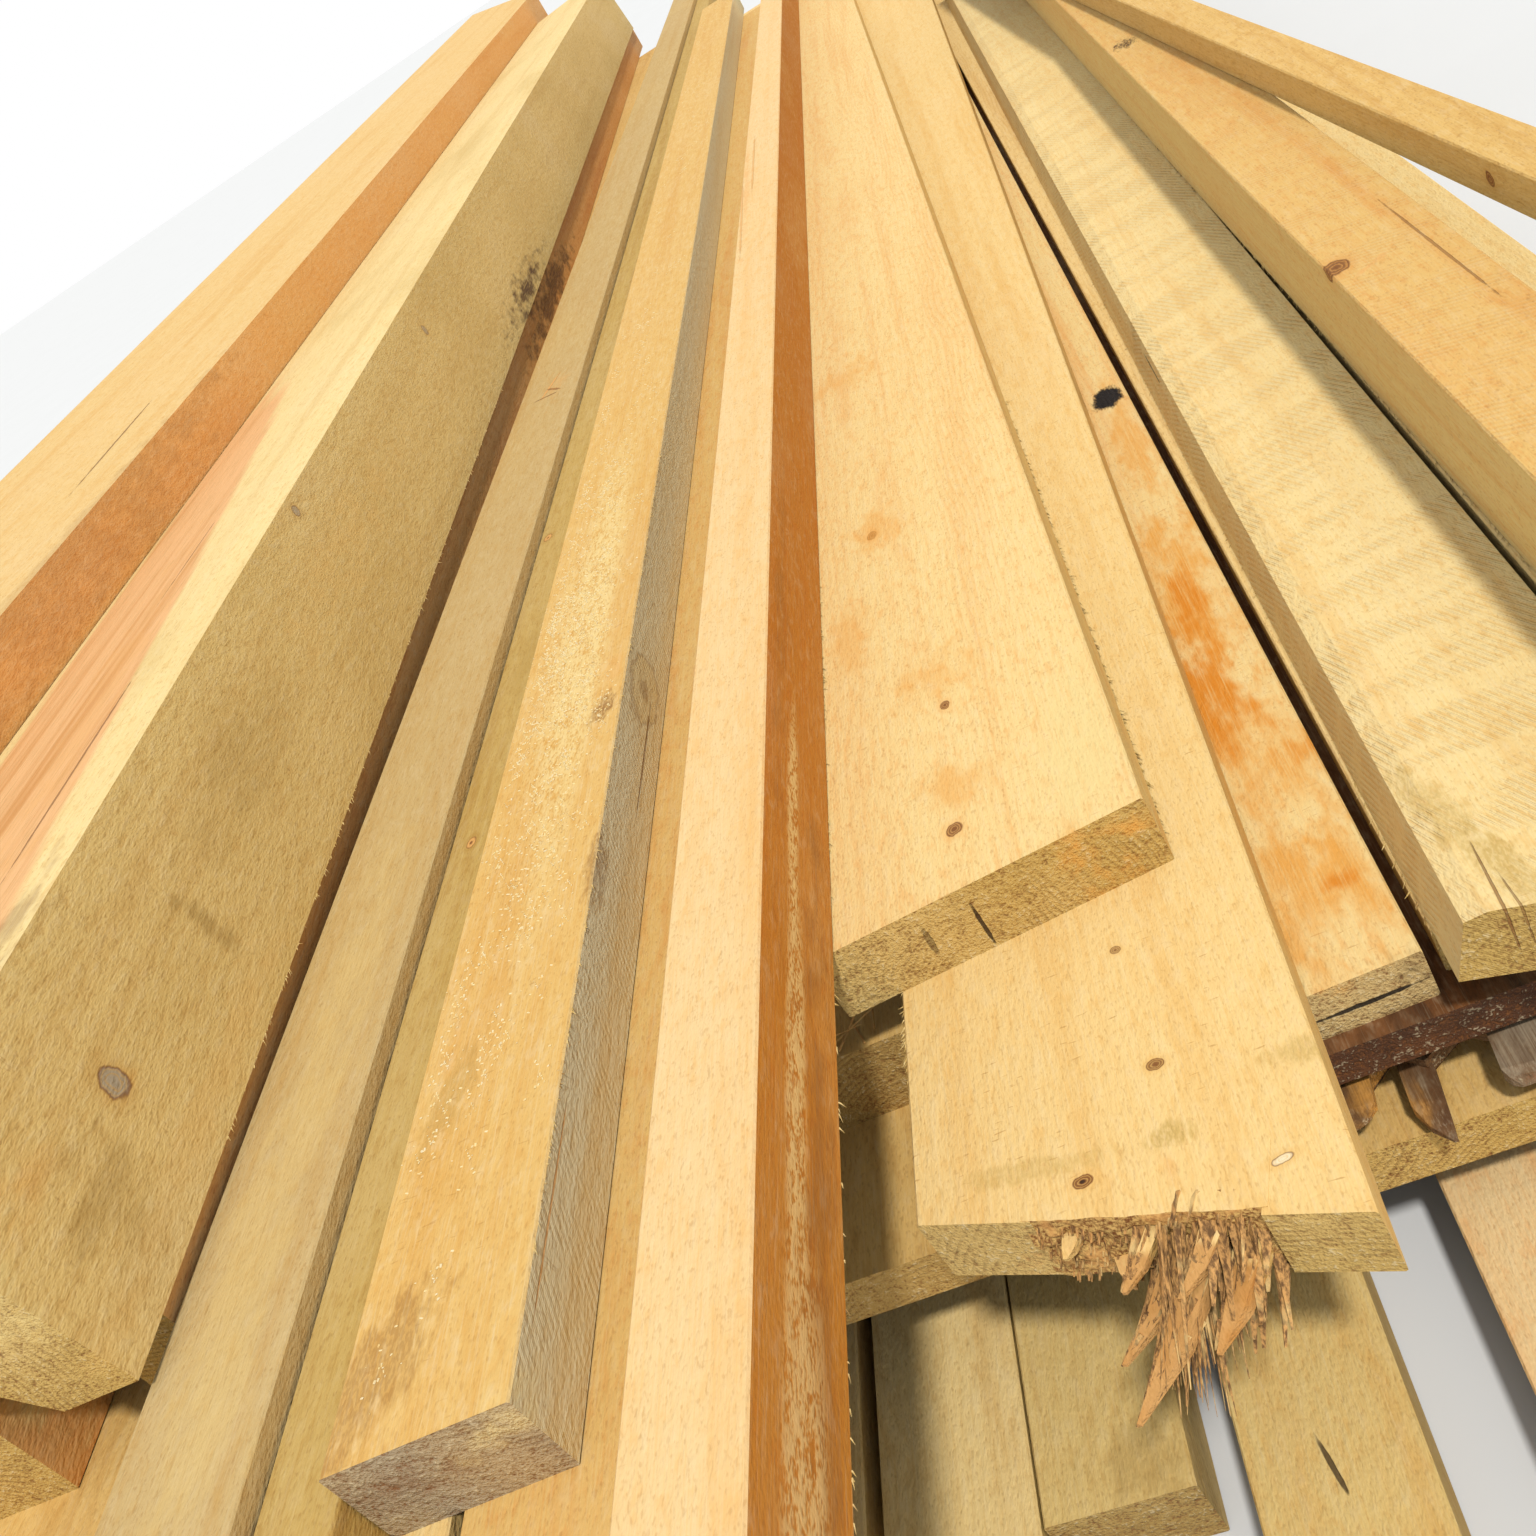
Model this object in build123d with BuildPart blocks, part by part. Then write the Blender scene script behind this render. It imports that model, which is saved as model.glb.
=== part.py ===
"""A heap of rough-sawn timber: heavy cants and beams on layers of planks, all lying along +Y.

+X is to the right of somebody who looks along the boards from their near ends, and +Z is up.
The origin is on the floor, in the middle of the heap's length and width.
"""

from build123d import *
import os
from math import cos, radians, sin, tan

# Lengths that such timber is sold in
SHORT_STOCK = 3600
USUAL_STOCK = 5400
LONG_STOCK = 6000
LONGEST_STOCK = 6600

# Thickness of each layer, from the floor up
FLOOR_BOARD_THICK = 65
PACKING_THICK = 44
ROUGH_END_THICK = 43
ROTTEN_THICK = 44
BARK_BOARD_THICK = 31
STAINED_THICK = 44
BROKEN_PLANK_THICK = 57
WIDE_PLANK_THICK = 62

# Heights of what lies on the layers
GREY_BOARD_HIGH = 65
OLIVE_STRIP_HIGH = 49
DUSTY_BEAM_HIGH = 71
CENTRE_BEAM_HIGH = 104
RIGHT_BEAM_HIGH = 120
CROSSING_BEAM_HIGH = 42
CANT_BEARER_HIGH = 117
PACKING_STRIP_HIGH = 81

# Widths of the boards that show
GREY_BOARD_WIDE = 121
OLIVE_STRIP_WIDE = 64
DUSTY_BEAM_WIDE = 131
CENTRE_BEAM_WIDE = 73
WIDE_PLANK_WIDE = 262
LOW_STRIP_WIDE = 145
BROKEN_PLANK_WIDE = 265
STAINED_WIDE = 261
SAW_MARKED_WIDE = 164
SAW_MARKED_WANE = 30
RIGHT_SIDE_WIDE = 190
ROTTEN_WIDE = 280
RIGHT_BEAM_WIDE = 98
CROSSING_BEAM_WIDE = 47
CANT_BEARER_WIDE = 186
PACKING_STRIP_WIDE = 64
TALL_CANT_HIGH = 215
TALL_CANT_FOOT = 66
TALL_CANT_WIDE = 318
OUTER_BEARER_WIDE = 290
LEFT_CANT_WIDE = 270
LEFT_CANT_RIGHT_HIGH = 258
LEFT_CANT_LEFT_HIGH = 312

# Room between neighbours, and the easing of every long arris
TIGHT = 2
ARRIS = 1.5

# Near ends of the boards that show, measured from a cross line in front of the heap
ROTTEN_NEAR = 679
STAINED_NEAR = 720
BROKEN_NEAR = 522
SAW_MARKED_NEAR = 649
WIDE_PLANK_NEAR = 811
LOW_STRIP_NEAR = 300
GREY_BOARD_NEAR = 430
OLIVE_STRIP_NEAR = 390
DUSTY_BEAM_NEAR = 467
CENTRE_BEAM_NEAR = 180
PACKING_STRIP_NEAR = 640
CANT_BEARER_NEAR = 581
OUTER_BEARER_NEAR = 700
TALL_CANT_NEAR = 582
LEFT_CANT_NEAR = 900
RIGHT_BEAM_NEAR = 640
CROSSING_BEAM_NEAR = 900

# Askew end cuts, in degrees: above 0 the left side lies back
ROTTEN_SKEW = 6
STAINED_SKEW = -1.8
BROKEN_SKEW = 18
SAW_MARKED_SKEW = 15
WIDE_PLANK_SKEW = -5
DUSTY_BEAM_SKEW = -3.6

# Turns of the boards that don't lie straight, in degrees: below 0 the far end lies to the left
CANT_SWING = -1.6
LOW_STRIP_SWING = 0.3
WIDE_PLANK_SWING = -0.6
CENTRE_BEAM_SWING = 0.45
BROKEN_SWING = 1.6
RIGHT_SWING = 0.7
RIGHT_BEAM_SWING = 0.15
CROSSING_SWING = -4.1

# Places across the heap
LEFT_SIDE = -1440
GREY_BOARD_LEFT = -820
RIGHT_BEAM_LEFT = 226
CROSSING_BEAM_LEFT = 395
GAP_BEFORE_LOW_STRIP = 8
GAP_BEFORE_WIDE_PLANK = 94
GAP_BEFORE_CENTRE_BEAM = 98
GAP_BEFORE_BROKEN = 121
GAP_AFTER_BROKEN = 93
STAINED_SET_IN = 38
TALL_CANT_OVERLAP = 9

# Torn part of the broken plank's end: how far along the end each tooth is, and how deep it breaks
BROKEN_TEAR = [(78, 9), (89, 4), (99, 19), (110, 7), (122, 24), (133, 11), (148, 31), (163, 17),
               (177, 37), (192, 21), (206, 30), (217, 8)]
BROKEN_STEPS = [7, -3, 3, 11]
ROTTEN_TEAR = [(12, 10), (30, 26), (48, 14), (70, 38), (96, 20), (118, 44), (140, 26), (168, 50),
               (196, 30), (228, 40), (252, 12), (270, 6)]
ROTTEN_STEPS = [12, 0, 20]

# Splinters: place along the end, height of the root, width, thickness, reach, lean and droop of the tip
BROKEN_SPLINTERS = [
    (182, 32, 24, 17, 94, -44, -30),
    (163, 23, 17, 12, 60, -38, -20),
    (188, 44, 15, 9, 36, -22, -12),
    (205, 27, 19, 20, 54, -24, -20),
    (150, 42, 12, 8, 34, -16, -7),
    (122, 17, 15, 9, 17, 7, -5),
    (98, 38, 12, 8, 12, -4, -3),
]
ROTTEN_SPLINTERS = [
    (34, 26, 40, 20, 22, 4, -6),
    (88, 30, 34, 9, 14, -8, -4),
    (132, 16, 24, 12, 26, 10, -8),
    (205, 28, 46, 14, 10, -12, -3),
]
SPLINTER_ROOT = 60
SPLINTER_TIP = 2.5

# Tops of the layers
floor_top = FLOOR_BOARD_THICK
packing_top = floor_top + PACKING_THICK
rough_top = packing_top + ROUGH_END_THICK
rotten_top = rough_top + ROTTEN_THICK
bark_top = rotten_top + BARK_BOARD_THICK
stained_top = bark_top + STAINED_THICK
broken_top = stained_top + BROKEN_PLANK_THICK
main_top = broken_top + WIDE_PLANK_THICK

pieces = {}


def along(left, near, base, swing):
    """The upright plane at a board's near end, facing out of it: x to the right, y up."""
    a = radians(swing)
    return Plane(origin=(left, near, base), x_dir=(cos(a), -sin(a), 0), z_dir=(-sin(a), -cos(a), 0))


def keep(part, name):
    part.label = name
    pieces.setdefault(name, []).append(part)


def sawn(name, left, near, base, wide, high, length, swing=0.0, skew=0.0):
    """A rectangular board or beam. The near end is cut askew by skew degrees, its left side back."""
    end = along(left, near, base, swing)
    with BuildPart() as board:
        with BuildSketch(end):
            Rectangle(wide, high, align=(Align.MIN, Align.MIN))
        extrude(amount=-length)
        long_edges = board.edges().filter_by(lambda edge: edge.length > length / 2)
        chamfer(long_edges, length=ARRIS)
        cut_end(end, wide, skew)
    keep(board.part, name)


def cut_end(end, wide, skew):
    """Cuts the near end on an upright plane turned by skew degrees, through its foremost corner."""
    if skew:
        corner = end.from_local_coords(Vector(wide if skew > 0 else 0, 0, 0))
        normal = end.z_dir.rotate(Axis.Z, -skew)
        split(bisect_by=Plane(origin=corner, z_dir=normal), keep=Keep.BOTTOM)


def face_of(end, wide, skew):
    """The upright plane of an askew end cut: x along it from the board's left side, z out of the board."""
    x_dir = end.x_dir.rotate(Axis.Z, -skew)
    corner = end.from_local_coords(Vector(wide, 0, 0)) - x_dir * (wide / cos(radians(skew)))
    return Plane(origin=corner, x_dir=x_dir, z_dir=end.z_dir.rotate(Axis.Z, -skew))


def tear(face, teeth, high, steps):
    """Breaks teeth out of an end. Every growth layer over the board's height breaks at its own depth."""
    layer = high / len(steps)
    first, last = teeth[0][0], teeth[-1][0]
    for number, step in enumerate(steps):
        level = Plane(origin=face.origin + Vector(0, 0, number * layer), x_dir=face.x_dir, z_dir=(0, 0, 1))
        broken_line = [(along_end, max(depth + step, ARRIS)) for along_end, depth in teeth]
        with BuildSketch(level) as gap:
            with BuildLine():
                Polyline((first, -1), *broken_line, (last, -1), close=True)
            make_face()
        extrude(gap.sketch, amount=layer, mode=Mode.SUBTRACT)


def add_splinter(face, place, root_up, wide, thick, reach, lean, droop):
    """One splinter, from inside the board to a thin tip that hangs down and to a side."""
    sections = []
    for share, out in ((0, -SPLINTER_ROOT), (0.12, 0), (0.45, reach * 0.6), (1, reach)):
        narrow = 1 - share
        with BuildSketch(face.offset(out)) as section:
            with Locations((place + lean * share, root_up + droop * share)):
                Rectangle(wide * narrow + SPLINTER_TIP * share, thick * narrow + SPLINTER_TIP * share)
        sections.append(section.sketch)
    loft(sections, ruled=True)


def shaped(name, end, outline, length, skew=0.0):
    """A board with a waney section, given by the corners of its near end."""
    with BuildPart() as board:
        with BuildSketch(end):
            with BuildLine():
                Polyline(*outline, close=True)
            make_face()
        extrude(amount=-length)
        cut_end(end, max(corner[0] for corner in outline), skew)
    keep(board.part, name)


def row(base, high, left, boards):
    """Boards side by side from left to right: name, width, gap before it, near end, length, swing."""
    edge = left
    for name, wide, gap, near, length, swing in boards:
        edge += gap
        sawn(name, edge, near, base, wide, high, length, swing)
        edge += wide
    return edge


# Boards on the floor
row(0, FLOOR_BOARD_THICK, LEFT_SIDE, [
    ("floor_planks", 150, 0, 640, USUAL_STOCK, 0),
    ("floor_planks", 160, 12, 560, USUAL_STOCK, 0),
    ("floor_planks", 160, 14, 690, USUAL_STOCK, 0),
    ("floor_planks", 150, 16, 600, USUAL_STOCK, 0),
    ("floor_planks", 160, 12, 650, USUAL_STOCK, 0),
    ("floor_planks", 112, 12, 580, USUAL_STOCK, 0),
    ("floor_board_1", 120, 14, 470, USUAL_STOCK, 0),
    ("floor_board_2", 111, TIGHT, 550, USUAL_STOCK, 0),
    ("floor_board_3", 115, 34, 390, USUAL_STOCK, 0),
    ("floor_board_4", 150, 72, 450, USUAL_STOCK, 0),
    ("floor_board_5", 140, 12, 620, USUAL_STOCK, 0),
    ("floor_board_6", 125, 12, 700, USUAL_STOCK, 0),
])

# Packing planks between the floor boards and the rough-ended planks
row(floor_top, PACKING_THICK, LEFT_SIDE, [
    ("packing_planks", 240, 0, 760, USUAL_STOCK, 0),
    ("packing_planks", 240, 20, 700, USUAL_STOCK, 0),
    ("packing_planks", 240, 18, 830, USUAL_STOCK, 0),
    ("packing_planks", 240, 22, 880, USUAL_STOCK, 0),
    ("packing_planks", 240, 20, 1000, USUAL_STOCK, 0),
    ("packing_planks", 230, 22, 1060, USUAL_STOCK, 0),
    ("packing_planks", 230, 20, 960, USUAL_STOCK, 0),
])

# Rough-ended planks
row(packing_top, ROUGH_END_THICK, LEFT_SIDE, [
    ("third_layer_planks", 240, 0, 690, USUAL_STOCK, 0),
    ("third_layer_planks", 240, 20, 800, USUAL_STOCK, 0),
    ("third_layer_planks", 240, 18, 730, USUAL_STOCK, 0),
    ("third_layer_planks", 240, 22, 860, USUAL_STOCK, 0),
    ("third_layer_planks", 240, 40, 940, USUAL_STOCK, 0),
    ("rough_end_plank", 330, 40, 687, USUAL_STOCK, 0),
    ("third_layer_side_plank", 180, 10, 760, USUAL_STOCK, 0),
])

# Rotten and short-ended planks
inner_right = row(rough_top, ROTTEN_THICK, LEFT_SIDE, [
    ("fourth_layer_planks", 240, 0, 620, USUAL_STOCK, 0),
    ("fourth_layer_planks", 240, 16, 720, USUAL_STOCK, 0),
    ("fourth_layer_planks", 240, 18, 660, USUAL_STOCK, 0),
    ("fourth_layer_planks", 150, 14, 640, USUAL_STOCK, 0),
    ("short_end_plank", 206, 12, 692, USUAL_STOCK, 0),
    ("fourth_layer_inner_plank", 150, 14, 1000, USUAL_STOCK, 0),
])
rotten_left = inner_right + 10
with BuildPart() as rotten:
    rotten_end = along(rotten_left, ROTTEN_NEAR, rough_top, 0)
    with BuildSketch(rotten_end):
        Rectangle(ROTTEN_WIDE, ROTTEN_THICK, align=(Align.MIN, Align.MIN))
    extrude(amount=-USUAL_STOCK)
    cut_end(rotten_end, ROTTEN_WIDE, ROTTEN_SKEW)
    torn_face = face_of(rotten_end, ROTTEN_WIDE, ROTTEN_SKEW)
    tear(torn_face, ROTTEN_TEAR, ROTTEN_THICK, ROTTEN_STEPS)
    for splinter in ROTTEN_SPLINTERS:
        add_splinter(torn_face, *splinter)
keep(rotten.part, "rotten_plank")
row(rough_top, ROTTEN_THICK, rotten_left + ROTTEN_WIDE, [
    ("fourth_layer_side_plank", 240, 20, 780, USUAL_STOCK, 0),
])

# Thick planks at the left, and the bark board with the stained plank on it at the right
THICK_HIGH = BARK_BOARD_THICK + STAINED_THICK
thick_right = row(rotten_top, THICK_HIGH, LEFT_SIDE, [
    ("fifth_layer_planks", 240, 0, 580, USUAL_STOCK, 0),
    ("fifth_layer_planks", 240, 18, 650, USUAL_STOCK, 0),
    ("fifth_layer_planks", 230, 20, 600, USUAL_STOCK, 0),
    ("fifth_layer_planks", 200, 20, 620, USUAL_STOCK, 0),
    ("thick_end_plank", 206, 6, 838, USUAL_STOCK, 0),
])
row(rotten_top, BARK_BOARD_THICK, thick_right, [
    ("bark_board", 420, 18, 712, USUAL_STOCK, 0),
    ("bark_board_side", 220, 12, 800, USUAL_STOCK, 0),
])
stained_left = thick_right + STAINED_SET_IN
sawn("stained_plank", stained_left, STAINED_NEAR, bark_top, STAINED_WIDE, STAINED_THICK, USUAL_STOCK,
     0, STAINED_SKEW)
row(bark_top, STAINED_THICK, stained_left + STAINED_WIDE, [
    ("sixth_layer_side_plank", 190, 10, 745, USUAL_STOCK, 0),
    ("sixth_layer_side_plank", 150, 12, 800, USUAL_STOCK, 0),
])

# The broken plank with its neighbours
broken_left = row(stained_top, BROKEN_PLANK_THICK, LEFT_SIDE, [
    ("seventh_layer_planks", 240, 0, 520, USUAL_STOCK, 0),
    ("seventh_layer_planks", 240, 18, 600, USUAL_STOCK, 0),
    ("seventh_layer_planks", 250, 20, 560, USUAL_STOCK, 0),
    ("seventh_layer_planks", 220, 22, 900, USUAL_STOCK, 0),
]) + GAP_BEFORE_BROKEN
with BuildPart() as broken:
    broken_end = along(broken_left, BROKEN_NEAR, stained_top, BROKEN_SWING)
    with BuildSketch(broken_end):
        Rectangle(BROKEN_PLANK_WIDE, BROKEN_PLANK_THICK, align=(Align.MIN, Align.MIN))
    extrude(amount=-USUAL_STOCK)
    chamfer(broken.edges().filter_by(lambda edge: edge.length > USUAL_STOCK / 2), length=ARRIS)
    cut_end(broken_end, BROKEN_PLANK_WIDE, BROKEN_SKEW)
    torn_face = face_of(broken_end, BROKEN_PLANK_WIDE, BROKEN_SKEW)
    tear(torn_face, BROKEN_TEAR, BROKEN_PLANK_THICK, BROKEN_STEPS)
    for splinter in BROKEN_SPLINTERS:
        add_splinter(torn_face, *splinter)
keep(broken.part, "broken_plank")
saw_marked_left = broken_left + BROKEN_PLANK_WIDE + GAP_AFTER_BROKEN
shaped("saw_marked_plank", along(saw_marked_left, SAW_MARKED_NEAR, stained_top, RIGHT_SWING),
       [(0, 0), (SAW_MARKED_WIDE, 0), (SAW_MARKED_WIDE, BROKEN_PLANK_THICK),
        (SAW_MARKED_WANE, BROKEN_PLANK_THICK), (SAW_MARKED_WANE / 2, BROKEN_PLANK_THICK - 6)],
       USUAL_STOCK, SAW_MARKED_SKEW)
side_plank_left = saw_marked_left + SAW_MARKED_WIDE + 6
sawn("right_side_plank", side_plank_left, SAW_MARKED_NEAR, stained_top, RIGHT_SIDE_WIDE, BROKEN_PLANK_THICK,
     USUAL_STOCK, RIGHT_SWING)

# The top layer of planks
low_strip_left = row(broken_top, WIDE_PLANK_THICK, LEFT_SIDE, [
    ("top_layer_outer_plank", 300, 0, 420, LONG_STOCK, 0),
    ("top_layer_left_plank", 270, 14, 380, LONG_STOCK, 0),
    ("top_layer_middle_plank", 255, 10, 360, LONG_STOCK, 0),
]) + GAP_BEFORE_LOW_STRIP
sawn("low_strip", low_strip_left, LOW_STRIP_NEAR, broken_top, LOW_STRIP_WIDE, WIDE_PLANK_THICK,
     USUAL_STOCK, LOW_STRIP_SWING)
wide_plank_left = low_strip_left + LOW_STRIP_WIDE + GAP_BEFORE_WIDE_PLANK
sawn("wide_plank", wide_plank_left, WIDE_PLANK_NEAR, broken_top, WIDE_PLANK_WIDE, WIDE_PLANK_THICK,
     USUAL_STOCK, WIDE_PLANK_SWING, WIDE_PLANK_SKEW)

# Boards and beams on the top layer, in the middle
sawn("grey_board", GREY_BOARD_LEFT, GREY_BOARD_NEAR, main_top, GREY_BOARD_WIDE, GREY_BOARD_HIGH,
     LONGEST_STOCK)
olive_left = GREY_BOARD_LEFT + GREY_BOARD_WIDE + TIGHT
sawn("olive_strip", olive_left, OLIVE_STRIP_NEAR, main_top, OLIVE_STRIP_WIDE, OLIVE_STRIP_HIGH, LONGEST_STOCK)
dusty_left = olive_left + OLIVE_STRIP_WIDE + TIGHT
sawn("dusty_beam", dusty_left, DUSTY_BEAM_NEAR, main_top, DUSTY_BEAM_WIDE, DUSTY_BEAM_HIGH,
     USUAL_STOCK, 0, DUSTY_BEAM_SKEW)
centre_left = dusty_left + DUSTY_BEAM_WIDE + GAP_BEFORE_CENTRE_BEAM
sawn("centre_beam", centre_left, CENTRE_BEAM_NEAR, main_top, CENTRE_BEAM_WIDE, CENTRE_BEAM_HIGH,
     USUAL_STOCK, CENTRE_BEAM_SWING)

# Cants at the left, with the beams that carry them
packing_strip_left = GREY_BOARD_LEFT - PACKING_STRIP_WIDE - 4
sawn("packing_strip", packing_strip_left, PACKING_STRIP_NEAR, main_top, PACKING_STRIP_WIDE,
     PACKING_STRIP_HIGH, LONG_STOCK, CANT_SWING)
cant_base = main_top + CANT_BEARER_HIGH
cant_foot = main_top + PACKING_STRIP_HIGH
step = CANT_BEARER_HIGH - PACKING_STRIP_HIGH
tall_right = GREY_BOARD_LEFT + TALL_CANT_OVERLAP
tall_left = tall_right - TALL_CANT_WIDE
bearer_left = tall_left - 3
sawn("cant_bearer", bearer_left, CANT_BEARER_NEAR, main_top, CANT_BEARER_WIDE, CANT_BEARER_HIGH,
     LONG_STOCK, CANT_SWING)
shaped("tall_cant", along(tall_right, TALL_CANT_NEAR, cant_foot, CANT_SWING),
       [(0, 0), (-19, TALL_CANT_HIGH), (-60, TALL_CANT_HIGH + 5), (-TALL_CANT_WIDE, TALL_CANT_HIGH - 10),
        (-TALL_CANT_WIDE, 120), (-TALL_CANT_WIDE + 50, 80), (-200, step), (-92, step),
        (-TALL_CANT_FOOT, 0)], LONG_STOCK)
outer_bearer_left = bearer_left - OUTER_BEARER_WIDE - 14
sawn("outer_bearer", outer_bearer_left, OUTER_BEARER_NEAR, main_top, OUTER_BEARER_WIDE, CANT_BEARER_HIGH,
     LONG_STOCK, CANT_SWING)
left_cant_right = tall_left - TIGHT + (LEFT_CANT_NEAR - TALL_CANT_NEAR) * tan(radians(CANT_SWING))
shaped("left_cant", along(left_cant_right, LEFT_CANT_NEAR, cant_base, CANT_SWING),
       [(0, 0), (0, LEFT_CANT_RIGHT_HIGH), (-LEFT_CANT_WIDE, LEFT_CANT_LEFT_HIGH),
        (-LEFT_CANT_WIDE, 40), (-LEFT_CANT_WIDE + 40, 0)], LONG_STOCK)

# Beams at the right
sawn("right_beam", RIGHT_BEAM_LEFT, RIGHT_BEAM_NEAR, broken_top, RIGHT_BEAM_WIDE, RIGHT_BEAM_HIGH,
     USUAL_STOCK, RIGHT_BEAM_SWING)
sawn("crossing_beam", CROSSING_BEAM_LEFT, CROSSING_BEAM_NEAR, broken_top + RIGHT_BEAM_HIGH,
     CROSSING_BEAM_WIDE, CROSSING_BEAM_HIGH, SHORT_STOCK, CROSSING_SWING)

# Origin: the middle of the whole heap, on the floor
everything = Compound([part for parts in pieces.values() for part in parts]).bounding_box()
middle = everything.center()
home = Location((-middle.X, -middle.Y, -everything.min.Z))

os.makedirs("parts", exist_ok=True)
for name, parts in pieces.items():
    placed = Compound(parts).moved(home)
    placed.label = name
    export_step(placed, f"parts/{name}.step")
print("heap", [round(size) for size in everything.size], "middle", round(middle.X), round(middle.Y))
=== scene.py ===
"""Looks of a loose stack of rough-sawn timber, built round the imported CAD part."""

import random
from math import cos, pi, radians, sin

import bpy
from bpy.props import FloatProperty, FloatVectorProperty, IntProperty, PointerProperty
from mathutils import Matrix, Vector


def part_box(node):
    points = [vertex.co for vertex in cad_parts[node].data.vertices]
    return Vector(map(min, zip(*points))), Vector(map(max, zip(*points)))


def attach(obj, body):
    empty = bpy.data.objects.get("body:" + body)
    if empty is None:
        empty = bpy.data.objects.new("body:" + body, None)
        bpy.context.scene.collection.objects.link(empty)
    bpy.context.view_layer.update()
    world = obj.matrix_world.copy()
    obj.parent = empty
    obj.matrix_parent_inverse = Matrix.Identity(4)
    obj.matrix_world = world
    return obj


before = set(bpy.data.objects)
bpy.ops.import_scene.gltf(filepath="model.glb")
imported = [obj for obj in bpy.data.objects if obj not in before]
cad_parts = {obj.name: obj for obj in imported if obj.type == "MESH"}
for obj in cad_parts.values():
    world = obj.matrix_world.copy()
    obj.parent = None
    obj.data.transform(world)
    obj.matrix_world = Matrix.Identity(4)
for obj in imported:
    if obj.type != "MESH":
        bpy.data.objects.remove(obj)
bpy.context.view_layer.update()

bl_info = {
    "name": "Stack of lumber",
    "version": (1, 0, 0),
    "blender": (4, 5, 0),
    "location": "3D View > Sidebar > Lumber",
    "description": "Finishes, splinters, sawdust and stage of a stack of rough-sawn timber",
    "category": "Object",
}


# Colours and sizes

def linear(value):
    """A part of a colour as a paint chart gives it, 0 to 255, made linear."""
    share = value / 255
    return share / 12.92 if share <= 0.04045 else ((share + 0.055) / 1.055) ** 2.4


def colour(name, *parts):
    """A colour property, named by where the colour is."""
    return FloatVectorProperty(name=name, subtype="COLOR", size=3, min=0, max=1,
                               default=[linear(part) for part in parts])


def length(name, description, default):
    """A length property, in metres."""
    return FloatProperty(name=name, description=description, default=default, min=0,
                         subtype="DISTANCE", unit="LENGTH")


class LumberColours(bpy.types.PropertyGroup):
    """Colours of the timber."""
    cream: colour("Top of the left cant", 242, 203, 134)
    pale: colour("Saw-marked plank and the tall cant's arris", 254, 224, 156)
    yellow: colour("Tops of the wide and the stained plank", 251, 217, 146)
    golden: colour("Top of the dusty beam and ordinary planks", 236, 192, 114)
    salmon: colour("Top of the broken plank", 252, 214, 142)
    # Salmon is also laid in patches on the splintered wood as painted highlights.
    pinkish: colour("Top of the centre beam", 248, 211, 150)
    pink: colour("Middle of the tall cant's top", 248, 190, 130)
    tan: colour("Sides of the tall cant and the wide plank", 236, 202, 128)
    grey_tan: colour("Side of the dusty beam", 246, 232, 188)
    dun: colour("Grey board", 210, 178, 118)
    orange: colour("Side of the left cant and stains", 240, 178, 104)
    deep_orange: colour("Side of the centre beam", 202, 128, 34)
    olive: colour("Olive strip and end cuts", 208, 172, 96)
    dark_olive: colour("Old end cuts", 182, 146, 80)
    green_grey: colour("Mould on sapwood", 244, 218, 148)
    weathered: colour("Ends of the dusty beam and the grey board", 176, 160, 134)
    splinter: colour("Torn fibres of the broken plank", 218, 164, 98)
    amber: colour("Stains of the stained and the wide plank", 240, 170, 76)
    rust: colour("Heart of the stained plank's stain", 230, 138, 28)
    brown: colour("Stains and knots", 134, 84, 42)
    dark: colour("Cracks and the pits of knots", 52, 32, 20)
    black: colour("Dead knot of the stained plank", 22, 16, 14)
    white: colour("Knot of the broken plank and pale fuzz", 250, 232, 190)
    bark: colour("Inner bark", 84, 52, 32)
    rot: colour("Rotten plank and the dark of end grain", 118, 86, 54)
    dust: colour("Loose flakes", 253, 228, 160)
    floor: colour("Studio floor", 236, 236, 234)


class LumberSizes(bpy.types.PropertyGroup):
    """Sizes of the grain and of what lies on the timber."""
    ring: length("Growth ring", "Width of a growth ring", 0.0055)
    fibre: length("Fibre", "Width of a fibre", 0.0014)
    saw_pitch: length("Saw mark", "Distance between saw marks", 0.0062)
    relief: length("Relief", "Depth of the sawn surface's relief", 0.0013)
    flake: length("Sawdust flake", "Length of a sawdust flake", 0.0023)
    clumps: IntProperty(name="Clumps", description="Number of clumps of sawdust", default=330, min=1)
    hair: length("Arris fibre", "Length of the fibres along sawn arrises", 0.0065)
    hairs: IntProperty(name="Arris fibres", description="Number of fibres along an arris",
                       default=150, min=0)
    straw: length("Straw", "Length of a loose straw", 0.085)
    sun_spread: FloatProperty(name="Key light spread", description="Angle of the key light's disc",
                              default=radians(5), subtype="ANGLE", unit="ROTATION")


# Material nodes

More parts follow.
